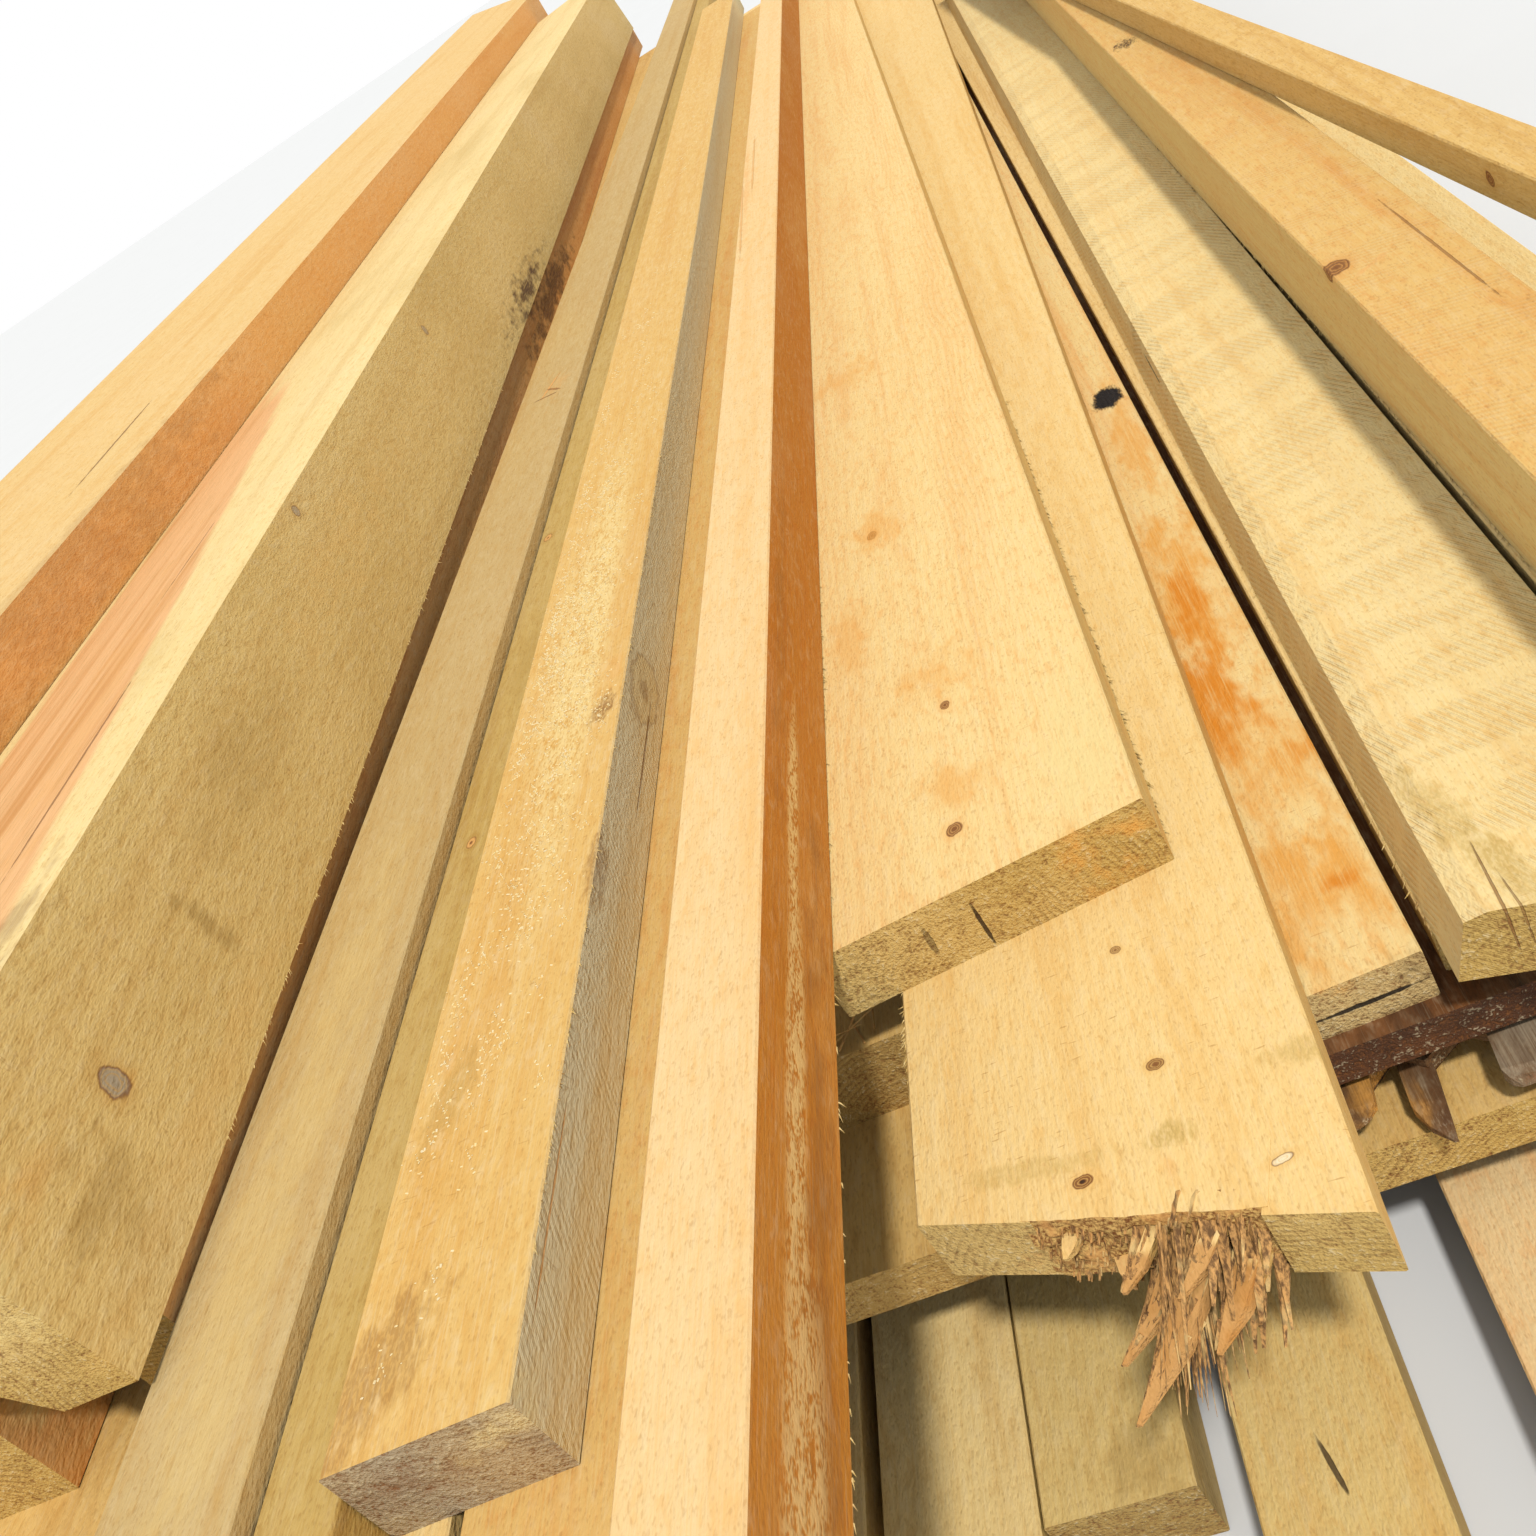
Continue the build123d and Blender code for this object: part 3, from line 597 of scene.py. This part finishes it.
class LUMBER_OT_finish_planks(bpy.types.Operator):
    """Finish the planks of the right half"""
    bl_idname = "lumber.finish_planks"
    bl_label = "Finish planks"

    def execute(self, context):
        finish("wide_plank", "yellow", "tan", "olive", "orange", pith=(-0.01, -0.045), ring_depth=0.4,
               streak_share=0.4, drift=0.3, dashes=0.25, fuzz=0.35, end_rough=0.7)
        finish("broken_plank", "salmon", "golden", "olive", "tan", pith=(0.02, -0.16), ring_depth=0.35,
               dashes=0.6, fuzz=0.35, end_rough=0.6)
        finish("stained_plank", "yellow", "olive", "dun", "orange", pith=(0.0, -0.1), ring_depth=0.4,
               streak_share=0.7, drift=0.6, dashes=0.5, end_rough=0.8)
        finish("saw_marked_plank", "pale", "pale", "olive", "golden", pith=(0.03, -0.11),
               saw=(0.55, 2.2, "all"), dashes=0.35, fuzz=0.4, end_rough=0.7)
        finish("right_beam", "golden", "green_grey", "olive", "orange", pith=(0.01, -0.13),
               ring_depth=0.35, saw=(0.28, 0.5, "top"))
        finish("crossing_beam", "golden", "tan", "olive", "olive", ring_depth=0.4)
        finish("bark_board", "brown", "bark", "bark", "dark", ring_depth=0.7, streak_share=0.9,
               drift=0.8, end_rough=0.9)
        finish("rotten_plank", "rot", "rot", "rot", "brown", ring_depth=0.7, streak_share=0.9,
               drift=0.9, end_rough=0.9)
        finish("rough_end_plank", "golden", "olive", "olive", "olive", ring_depth=0.4, end_rough=0.9)
        return {"FINISHED"}


class LUMBER_OT_finish_lower_boards(bpy.types.Operator):
    """Finish the boards on the floor, the short ends over them and the hidden planks"""
    bl_idname = "lumber.finish_lower_boards"
    bl_label = "Finish lower boards"

    def execute(self, context):
        finish("floor_board_1", "yellow", "olive", "dark_olive", "olive", ring_depth=0.45)
        finish("floor_board_2", "tan", "tan", "dark_olive", "olive", ring_depth=0.4, end_rough=0.8)
        finish("floor_board_3", "tan", "olive", "dark_olive", "golden", ring_depth=0.4)
        finish("floor_board_4", "pinkish", "golden", "olive", "pink", ring_depth=0.35)
        for node in ("thick_end_plank", "short_end_plank", "top_layer_left_plank",
                     "fifth_layer_planks", "fourth_layer_planks", "third_layer_planks"):
            finish(node, "golden", "olive", "dark_olive", "olive", ring_depth=0.45, end_rough=0.75)
        for node in ("top_layer_middle_plank", "top_layer_outer_plank", "floor_board_5",
                     "right_side_plank", "seventh_layer_planks", "fourth_layer_side_plank"):
            finish(node, "yellow", "tan", "olive", "golden", ring_depth=0.4, end_rough=0.6)
        for node in ("floor_board_6", "floor_planks", "packing_planks", "third_layer_side_plank",
                     "fourth_layer_inner_plank", "bark_board_side", "sixth_layer_side_plank"):
            finish(node, "salmon", "golden", "olive", "olive", ring_depth=0.45, end_rough=0.7)
        return {"FINISHED"}


# Loose and torn pieces

def turn_to(mode):
    bpy.ops.object.mode_set(mode=mode)


def clear_selection():
    if bpy.context.object and bpy.context.object.mode != "OBJECT":
        turn_to("OBJECT")
    bpy.ops.object.select_all(action="DESELECT")


def pick(piece, test):
    """Selects the vertices of a piece in edit mode that a test on their place passes."""
    turn_to("EDIT")
    bpy.ops.mesh.select_mode(type="VERT")
    bpy.ops.mesh.select_all(action="DESELECT")
    turn_to("OBJECT")
    for vertex in piece.data.vertices:
        vertex.select = bool(test(vertex.co))
    turn_to("EDIT")


# The least width of a sliver, as a share
SLIVER_TIP = 0.12


def sliver(name, wide, thick, cuts=4):
    """A torn sliver, one metre long, that runs up from the origin to a crooked tip."""
    clear_selection()
    bpy.ops.mesh.primitive_cube_add(size=1, location=(0, 0, 0.5))
    piece = bpy.context.object
    piece.name = name
    bpy.ops.object.transform_apply(location=True, rotation=False, scale=False)
    for cut in range(1, cuts + 1):
        pick(piece, lambda place: True)
        bpy.ops.mesh.bisect(plane_co=(0, 0, cut / (cuts + 1)), plane_no=(0, 0, 1))
    shaper = random.Random(name)
    for cut in range(1, cuts + 2):
        height = cut / (cuts + 1)
        pick(piece, lambda place: abs(place.z - height) < 0.01)
        narrow = max(SLIVER_TIP, 1 - height * shaper.uniform(0.75, 0.95))
        bpy.ops.transform.resize(value=(narrow, narrow, 1))
        bpy.ops.transform.translate(value=(shaper.uniform(-0.12, 0.12), shaper.uniform(-0.2, 0.2), 0))
    turn_to("OBJECT")
    piece.scale = (wide, thick, 1)
    bpy.ops.object.transform_apply(location=False, rotation=False, scale=True)
    return piece


def copies(name, model, places):
    """Copies of a modelled piece, joined as one piece that has its place in its mesh."""
    clear_selection()
    made = []
    for place in places:
        copy = model.copy()
        copy.data = model.data.copy()
        copy.matrix_world = place
        bpy.context.collection.objects.link(copy)
        made.append(copy)
    bpy.data.objects.remove(model)
    for copy in made:
        copy.select_set(True)
    bpy.context.view_layer.objects.active = made[0]
    bpy.ops.object.join()
    piece = bpy.context.object
    piece.name = name
    bpy.ops.object.transform_apply()
    return piece


def pointed(start, towards, roll, size):
    """The place of a piece that stands on a point and runs along a direction."""
    turn = Vector(towards).to_track_quat("Z", "Y").to_matrix().to_4x4()
    return Matrix.Translation(start) @ turn @ Matrix.Rotation(roll, 4, "Z") @ Matrix.Diagonal((*size, 1))


def settle(piece, material):
    """Gives a new piece its material and the body that it rides on."""
    piece.data.materials.clear()
    piece.data.materials.append(material)
    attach(piece, "root")


LOOSE_GRAIN = ((420, 60, 420), 3, 0.65)
LOOSE_PATCHES = ((60, 40, 60), 2, 0.6)
LOOSE_GLOSS = 0.25
LOOSE_BUMP = 0.7
LOOSE_RELIEF = 0.0006


def loose_wood(name, first, second, third):
    """Torn fibres: three tones along the grain, with a fine relief."""
    wood = Surface(name)
    grain = wood.noise(*LOOSE_GRAIN)
    patches = wood.noise(*LOOSE_PATCHES)
    ground = wood.mix(wood.rise(grain, 0.35, 0.65), wood.paint(first), wood.paint(second))
    # Patches of the third tone; on the splintered wood these salmon patches are painted highlights.
    ground = wood.mix(wood.rise(patches, 0.5, 0.7, 0.7), ground, wood.paint(third))
    roughness = wood.plus(0.7, wood.times(grain, 0.25))
    return wood.cover(ground, roughness, LOOSE_GLOSS, grain, LOOSE_BUMP, LOOSE_RELIEF)


# The broken plank's end: lower corners, directions along it and out of it, height
BROKEN_END_LEFT = Vector((0.255, -2.998, 0.271))
BROKEN_END_RIGHT = Vector((0.52, -3.083, 0.271))
BROKEN_ALONG = (BROKEN_END_RIGHT - BROKEN_END_LEFT).normalized()
BROKEN_OUT = (BROKEN_END_RIGHT - BROKEN_END_LEFT).cross(Vector((0, 0, 1))).normalized()
BROKEN_THICK = 0.057

# The torn face: start and stop as shares of the end, depth, reach past the plank's faces,
# depth of its dented skin
TORN_FROM, TORN_TO = 0.265, 0.8
TORN_DEPTH = 0.045
TORN_PROUD = 0.0004
TORN_SKIN = 0.012
TORN_CUTS = 30

# Its dents: name, size of the noise, depth
DENTS = (
    ("torn_coarse", 0.016, 0.011),
    ("torn_fine", 0.0045, 0.005),
)

# Bundles of slivers: share along the end from and to, height share from and to, how many,
# width, thickness, reach, drop, lean
BUNDLES = (
    ("long", 0.545, 0.62, 0.25, 0.95, 80, 0.003, 0.0018, 0.082, -0.45, 0.04),
    ("hanging", 0.57, 0.68, 0.1, 0.75, 56, 0.0028, 0.0017, 0.056, -0.9, -0.04),
    ("broad", 0.665, 0.775, 0.2, 0.98, 40, 0.008, 0.0028, 0.05, -0.6, 0.02),
    ("upright", 0.545, 0.76, 0.8, 1.0, 14, 0.0034, 0.0018, 0.01, 0.1, -0.05),
    ("stubble", 0.275, 0.56, 0.06, 0.94, 120, 0.0036, 0.0018, 0.007, -0.25, 0.1),
)
# How deep a sliver is rooted in the plank
SLIVER_ROOT = 0.014

# The big CAD splinters, which fibres clothe: place along the end, height, width, thickness,
# reach, lean and droop, in metres
BIG_SPLINTERS = (
    (0.182, 0.032, 0.024, 0.017, 0.094, -0.044, -0.03),
    (0.163, 0.023, 0.017, 0.012, 0.06, -0.038, -0.02),
    (0.188, 0.044, 0.015, 0.009, 0.036, -0.022, -0.012),
    (0.205, 0.027, 0.019, 0.02, 0.054, -0.024, -0.02),
    (0.15, 0.042, 0.012, 0.008, 0.034, -0.016, -0.007),
)
FIBRES_PER_SPLINTER = 80
# Shares of a big splinter's length where it leaves the plank and thins out, and its reach there
SPLINTER_START = 0.12
SPLINTER_KNEE = 0.45
KNEE_REACH = 0.6


def broken_end(along, up):
    """A point on the broken plank's end, at a share from its left and a height over its underside."""
    return BROKEN_END_LEFT.lerp(BROKEN_END_RIGHT, along) + Vector((0, 0, up))


def on_splinter(splinter, share, angle, swell):
    """A point on a big splinter's skin, at a share of its length."""
    place, high, wide, thick, reach, lean, droop = splinter
    if share < SPLINTER_KNEE:
        forth = (share - SPLINTER_START) / (SPLINTER_KNEE - SPLINTER_START) * KNEE_REACH
    else:
        forth = KNEE_REACH + (1 - KNEE_REACH) * (share - SPLINTER_KNEE) / (1 - SPLINTER_KNEE)
    around = Vector((cos(angle), sin(angle)))
    around *= swell * max(0.06, 1 - share) / 2 / max(abs(around.x), abs(around.y))
    return (BROKEN_END_LEFT + BROKEN_ALONG * (place + lean * share + around.x * wide)
            + BROKEN_OUT * (reach * forth) + Vector((0, 0, high + droop * share + around.y * thick)))


def add_torn_face():
    """The rough face of the break, set into the plank's end."""
    clear_selection()
    bpy.ops.mesh.primitive_cube_add(size=1)
    face = bpy.context.object
    face.name = "torn_face"
    turn_to("EDIT")
    bpy.ops.mesh.subdivide(number_cuts=TORN_CUTS)
    turn_to("OBJECT")
    wide = (BROKEN_END_RIGHT - BROKEN_END_LEFT).length * (TORN_TO - TORN_FROM)
    front = Matrix((BROKEN_ALONG, -BROKEN_OUT, Vector((0, 0, 1)))).transposed().to_4x4()
    middle = broken_end((TORN_FROM + TORN_TO) / 2, BROKEN_THICK / 2) - BROKEN_OUT * (TORN_DEPTH / 2)
    face.matrix_world = Matrix.Translation(middle) @ front @ Matrix.Diagonal(
        (wide, TORN_DEPTH, BROKEN_THICK + 2 * TORN_PROUD, 1))
    bpy.ops.object.transform_apply()
    group = face.vertex_groups.new(name="torn")
    for vertex in face.data.vertices:
        deep = (broken_end(0, 0) - vertex.co).dot(BROKEN_OUT)
        top_gap = min(1, max(0, (BROKEN_END_LEFT.z + BROKEN_THICK - vertex.co.z) / TORN_SKIN))
        group.add([vertex.index], max(0, 1 - deep / TORN_SKIN) * (0.35 + 0.65 * top_gap), "REPLACE")
    for name, size, depth in DENTS:
        rough = bpy.data.textures.new(name, "CLOUDS")
        rough.noise_scale = size
        rough.noise_depth = 3
        dent = face.modifiers.new(name, "DISPLACE")
        dent.texture = rough
        dent.texture_coords = "LOCAL"
        dent.vertex_group = "torn"
        dent.direction = "Y"
        dent.strength = depth
        dent.mid_level = 0.55
        bpy.ops.object.modifier_apply(modifier=name)
    settle(face, bpy.data.materials["broken_plank"])
    face.data.materials.append(loose_wood("torn_wood", "golden", "brown", "orange"))
    for polygon in face.data.polygons:
        polygon.material_index = 1 if polygon.normal.dot(BROKEN_OUT) > 0.25 else 0
    bpy.ops.object.shade_smooth_by_angle(angle=radians(28))


def add_bundles(chance, material):
    """Slivers that stand out of the break."""
    for name, start, stop, low, high, count, broad, thin, reach, drop, lean in BUNDLES:
        model = sliver(f"sliver_{name}", broad, thin)
        places = []
        for _ in range(count):
            height = chance.uniform(low, high) * BROKEN_THICK
            heading = BROKEN_OUT + Vector((0, 0, drop * chance.uniform(0.6, 1.3))) + BROKEN_ALONG * (
                lean + chance.uniform(-0.11, 0.11))
            long = reach * chance.uniform(0.4, 1.15) + SLIVER_ROOT
            begin = broken_end(chance.uniform(start, stop), height) - BROKEN_OUT * SLIVER_ROOT
            places.append(pointed(begin, heading, chance.uniform(-0.9, 0.9),
                                  (chance.uniform(0.5, 1.6), chance.uniform(0.6, 1.6), long)))
        settle(copies(f"splinters_{name}", model, places), material)


def add_clothing(chance, material):
    """Fibres that lie along the big splinters and fray their tips."""
    model = sliver("sliver_clothing", 0.0034, 0.0019)
    places = []
    for splinter in BIG_SPLINTERS:
        for _ in range(FIBRES_PER_SPLINTER):
            share = chance.uniform(0.05, 0.72)
            angle = chance.uniform(0, 2 * pi)
            begin = on_splinter(splinter, share, angle, 1.1)
            share = min(share + chance.uniform(0.25, 0.5), 1.04)
            end = on_splinter(splinter, share, angle + chance.uniform(-0.35, 0.35), 1.4)
            size = (chance.uniform(0.5, 1.7), chance.uniform(0.6, 1.5), (end - begin).length)
            places.append(pointed(begin, end - begin, chance.uniform(-1.2, 1.2), size))
    settle(copies("splinter_clothing", model, places), material)


class LUMBER_OT_add_splinters(bpy.types.Operator):
    """Tear the broken plank's end: a rough torn face, bundles of slivers and clothed splinters"""
    bl_idname = "lumber.add_splinters"
    bl_label = "Add splinters"

    def execute(self, context):
        # The salmon patches of the splintered wood are painted highlights on the slivers.
        material = loose_wood("splintered_wood", "splinter", "rot", "salmon")
        add_torn_face()
        chance = random.Random(11)
        add_bundles(chance, material)
        add_clothing(chance, material)
        return {"FINISHED"}


FLAKES_PER_CLUMP = 16
CLUMP_SPREAD = 0.008

# Clumps: the share round a middle, that middle and its spread, the reach of the rest, the
# middle and spread across as shares of the beam's width, the gap to its ends
DUST_ROUND_MIDDLE = 0.8
DUST_ALONG = (-2.25, 0.33)
DUST_REACH = (-3.0, 2.4)
DUST_ACROSS = (0.4, 0.24)
DUST_GAP = 0.06


class LUMBER_OT_add_sawdust(bpy.types.Operator):
    """Scatter clumps of sawdust over the dusty beam"""
    bl_idname = "lumber.add_sawdust"
    bl_label = "Add sawdust"

    def execute(self, context):
        sizes = context.scene.lumber_sizes
        chance = random.Random(5)
        clear_selection()
        bpy.ops.mesh.primitive_cube_add(size=1)
        flake = context.object
        flake.name = "flake"
        pick(flake, lambda place: place.z > 0)
        bpy.ops.transform.resize(value=(0.55, 0.4, 1))
        pick(flake, lambda place: place.x > 0)
        bpy.ops.transform.translate(value=(0, 0.3, 0.5))
        turn_to("OBJECT")
        places = []
        for _ in range(FLAKES_PER_CLUMP):
            spot = Vector((chance.gauss(0, CLUMP_SPREAD), chance.gauss(0, 2 * CLUMP_SPREAD), 0))
            spot.x = min(max(spot.x, -2 * CLUMP_SPREAD), 2 * CLUMP_SPREAD)
            long = sizes.flake * chance.uniform(0.35, 1.2)
            places.append(Matrix.Translation(spot) @ Matrix.Rotation(chance.uniform(0, 2 * pi), 4, "Z")
                          @ Matrix.Diagonal((long, long * chance.uniform(0.3, 0.7), long * 0.28, 1)))
        clump = copies("clump", flake, places)
        low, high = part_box("dusty_beam")
        wide = high.x - low.x
        edge = 2 * CLUMP_SPREAD + sizes.flake
        places = []
        for _ in range(sizes.clumps):
            gathered = chance.random() < DUST_ROUND_MIDDLE
            run = chance.gauss(*DUST_ALONG) if gathered else chance.uniform(*DUST_REACH)
            across = min(max(chance.gauss(*DUST_ACROSS) * wide, edge), wide - edge)
            if low.y + DUST_GAP < run < high.y - DUST_GAP:
                spot = (low.x + across, run, high.z + sizes.flake * 0.12)
                places.append(Matrix.Translation(spot) @ Matrix.Rotation(chance.choice((0, pi)), 4, "Z"))
        material = loose_wood("sawdust", "dust", "white", "golden")
        settle(copies("sawdust", clump, places), material)
        return {"FINISHED"}


# Straws on the thick plank's end: start, direction, share of a straw's length
STRAWS = (
    ((0.182, -2.762, 0.2725), (0.055, 0.052, 0.03), 1.0),
    ((0.205, -2.764, 0.2725), (-0.03, 0.085, 0.004), 0.8),
    ((0.168, -2.758, 0.2725), (0.09, 0.03, 0.018), 0.9),
    ((0.214, -2.752, 0.2725), (0.01, 0.07, 0.026), 0.6),
    ((0.151, -2.744, 0.2725), (0.06, -0.012, 0.012), 0.7),
)
STRAW_ROLL = 0.4


class LUMBER_OT_add_straws(bpy.types.Operator):
    """Lay the loose straws on the thick plank's end"""
    bl_idname = "lumber.add_straws"
    bl_label = "Add straws"

    def execute(self, context):
        sizes = context.scene.lumber_sizes
        model = sliver("straw", 0.0016, 0.0012)
        places = [pointed(Vector(start), towards, STRAW_ROLL * number, (1, 1, sizes.straw * long))
                  for number, (start, towards, long) in enumerate(STRAWS)]
        material = loose_wood("straw", "orange", "golden", "brown")
        settle(copies("straws", model, places), material)
        return {"FINISHED"}


# Arrises that carry torn fibres: node, side (1 is the right one), height (1 is the top), first
# and last run from the near end in metres, share of the fibres
HAIRY_ARRISES = (
    ("saw_marked_plank", 0, 0.0, 0.05, 1.8, 1.5),
    ("broken_plank", 0, 1.0, 0.12, 0.6, 0.5),
    ("wide_plank", 1, 0.0, 0.03, 0.9, 0.9),
    ("dusty_beam", 1, 1.0, 0.1, 1.3, 0.8),
    ("centre_beam", 1, 0.0, 0.05, 1.2, 0.5),
    ("tall_cant", 1, 0.0, 0.2, 1.9, 0.8),
    ("right_beam", 0, 0.0, 0.3, 1.9, 0.9),
)

# How near to an arris its corners are looked for: in height, and along the board from its ends
ARRIS_REACH = 0.012
END_REACH = 0.15
# Over 1, it gathers the fibres towards the near end
HAIR_GATHER = 1.3


class LUMBER_OT_add_arris_fibres(bpy.types.Operator):
    """Raise torn fibres along the sawn arrises"""
    bl_idname = "lumber.add_arris_fibres"
    bl_label = "Add arris fibres"

    def execute(self, context):
        sizes = context.scene.lumber_sizes
        material = loose_wood("arris_fibres", "olive", "pale", "brown")
        for node, side, height, near, far, share in HAIRY_ARRISES:
            chance = random.Random(node)
            outward = 1 if side else -1
            low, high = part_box(node)
            level = low.z + height * (high.z - low.z)
            arris = [vertex.co.copy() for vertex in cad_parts[node].data.vertices
                     if abs(vertex.co.z - level) < ARRIS_REACH]
            first = max((place for place in arris if place.y < low.y + END_REACH),
                        key=lambda place: place.x * outward)
            last = max((place for place in arris if place.y > high.y - END_REACH),
                       key=lambda place: place.x * outward)
            model = sliver(f"fibre_{node}", 0.0009, 0.0007, cuts=2)
            places = []
            for _ in range(int(sizes.hairs * share)):
                run = near + (far - near) * chance.random() ** HAIR_GATHER
                spot = first.lerp(last, run / (last.y - first.y))
                heading = (outward * chance.uniform(0.15, 0.8), chance.uniform(-1.6, -0.4),
                           chance.uniform(-0.5, 0.1) if height < 0.5 else chance.uniform(0.0, 0.35))
                roll = chance.uniform(0, pi)
                size = (chance.uniform(0.6, 1.5), 1, sizes.hair * chance.uniform(0.3, 1.3))
                places.append(pointed(spot, heading, roll, size))
            settle(copies(f"arris_fibres_{node}", model, places), material)
        return {"FINISHED"}


# Stage

CAMERA_PLACE = (0.564, -3.605, 1.04)
CAMERA_TURN = (55.41, 29.94, 0.29)
SENSOR_WIDTH = 36
# The photo's focal length and width, in pixels
CAMERA_LENS = 1500 / 1536 * SENSOR_WIDTH

# One bounce keeps a full render short
DIFFUSE_BOUNCES = 1
GLOSS_BOUNCES = 1
LIGHT_FROM = Vector((0.24, -0.47, 0.84))
LIGHT_DISTANCE = 8
LIGHT_ENERGY = 2.0
LIGHT_COLOUR = (1.0, 0.985, 0.96)
FILL_COLOUR = (0.93, 0.96, 1.0, 1)
FILL_STRENGTH = 0.6
FLOOR_SIZE = 60
FLOOR_DROP = 0.0005
FLOOR_GLOSS = 0.1
FLOOR_ROUGHNESS = 0.9


def lay_floor():
    """A pale floor just below the stack, with a faint cloud."""
    clear_selection()
    bpy.ops.mesh.primitive_plane_add(size=FLOOR_SIZE, location=(0, 0, -FLOOR_DROP))
    floor = bpy.context.object
    floor.name = "studio_floor"
    canvas = Surface("studio_floor")
    cloud = canvas.rise(canvas.noise((3, 3, 3), 2), 0.3, 0.7, 0.06)
    shade = canvas.mix(cloud, canvas.paint("floor"), (1, 1, 1))
    floor.data.materials.append(canvas.cover(shade, FLOOR_ROUGHNESS, FLOOR_GLOSS))


def light_world(scene):
    """A soft fill light, and a white backdrop for what the camera, gloss or clear material sees."""
    scene.world = bpy.data.worlds.new("studio")
    sky = Canvas(scene.world)
    path = sky.node("LightPath").outputs
    seen = sky.math("MAXIMUM", path["Is Camera Ray"], path["Is Glossy Ray"])
    seen = sky.math("MAXIMUM", seen, path["Is Transmission Ray"])
    fill = sky.node("Background", {"Color": FILL_COLOUR, "Strength": FILL_STRENGTH})
    shown = sky.node("Background", {"Color": (1, 1, 1, 1), "Strength": 1})
    either = sky.node("MixShader", {0: seen, 1: fill.outputs[0], 2: shown.outputs[0]})
    sky.node("OutputWorld", {"Surface": either.outputs[0]})


def add_key_light(spread):
    """A sun from the right and from behind the camera."""
    bpy.ops.object.light_add(type="SUN", location=tuple(LIGHT_FROM * LIGHT_DISTANCE))
    key = bpy.context.object
    key.name = "key_light"
    key.rotation_euler = LIGHT_FROM.to_track_quat("Z", "Y").to_euler()
    key.data.energy = LIGHT_ENERGY
    key.data.angle = spread
    key.data.color = LIGHT_COLOUR


def add_camera(scene):
    """The photo's camera."""
    bpy.ops.object.camera_add(location=CAMERA_PLACE, rotation=[radians(turn) for turn in CAMERA_TURN])
    camera = bpy.context.object
    camera.name = "camera"
    camera.data.lens = CAMERA_LENS
    camera.data.sensor_width = SENSOR_WIDTH
    camera.data.clip_end = 200
    scene.camera = camera


class LUMBER_OT_set_stage(bpy.types.Operator):
    """Set up the floor, the lights and the camera"""
    bl_idname = "lumber.set_stage"
    bl_label = "Set stage"

    def execute(self, context):
        scene = context.scene
        scene.view_settings.view_transform = "Standard"
        scene.cycles.diffuse_bounces = DIFFUSE_BOUNCES
        scene.cycles.glossy_bounces = GLOSS_BOUNCES
        lay_floor()
        light_world(scene)
        add_key_light(scene.lumber_sizes.sun_spread)
        add_camera(scene)
        return {"FINISHED"}


class LUMBER_PT_stack(bpy.types.Panel):
    """Everything that dresses the stack"""
    bl_label = "Stack of lumber"
    bl_idname = "LUMBER_PT_stack"
    bl_space_type = "VIEW_3D"
    bl_region_type = "UI"
    bl_category = "Lumber"

    def draw(self, context):
        layout = self.layout
        for group in (context.scene.lumber_sizes, context.scene.lumber_colours):
            box = layout.box()
            for key in group.__annotations__:
                box.prop(group, key)
        for operator in OPERATORS:
            layout.operator(operator.bl_idname)


OPERATORS = (
    LUMBER_OT_finish_cants,
    LUMBER_OT_finish_middle,
    LUMBER_OT_finish_planks,
    LUMBER_OT_finish_lower_boards,
    LUMBER_OT_add_splinters,
    LUMBER_OT_add_sawdust,
    LUMBER_OT_add_straws,
    LUMBER_OT_add_arris_fibres,
    LUMBER_OT_set_stage,
)
CLASSES = (LumberColours, LumberSizes, *OPERATORS, LUMBER_PT_stack)


def register():
    for item in CLASSES:
        bpy.utils.register_class(item)
    bpy.types.Scene.lumber_colours = PointerProperty(type=LumberColours)
    bpy.types.Scene.lumber_sizes = PointerProperty(type=LumberSizes)


def unregister():
    del bpy.types.Scene.lumber_sizes
    del bpy.types.Scene.lumber_colours
    for item in reversed(CLASSES):
        bpy.utils.unregister_class(item)


def main():
    register()
    bpy.ops.lumber.finish_cants()
    bpy.ops.lumber.finish_middle()
    bpy.ops.lumber.finish_planks()
    bpy.ops.lumber.finish_lower_boards()
    bpy.ops.lumber.add_splinters()
    bpy.ops.lumber.add_sawdust()
    bpy.ops.lumber.add_straws()
    bpy.ops.lumber.add_arris_fibres()
    bpy.ops.lumber.set_stage()


if __name__ == "__main__":
    main()
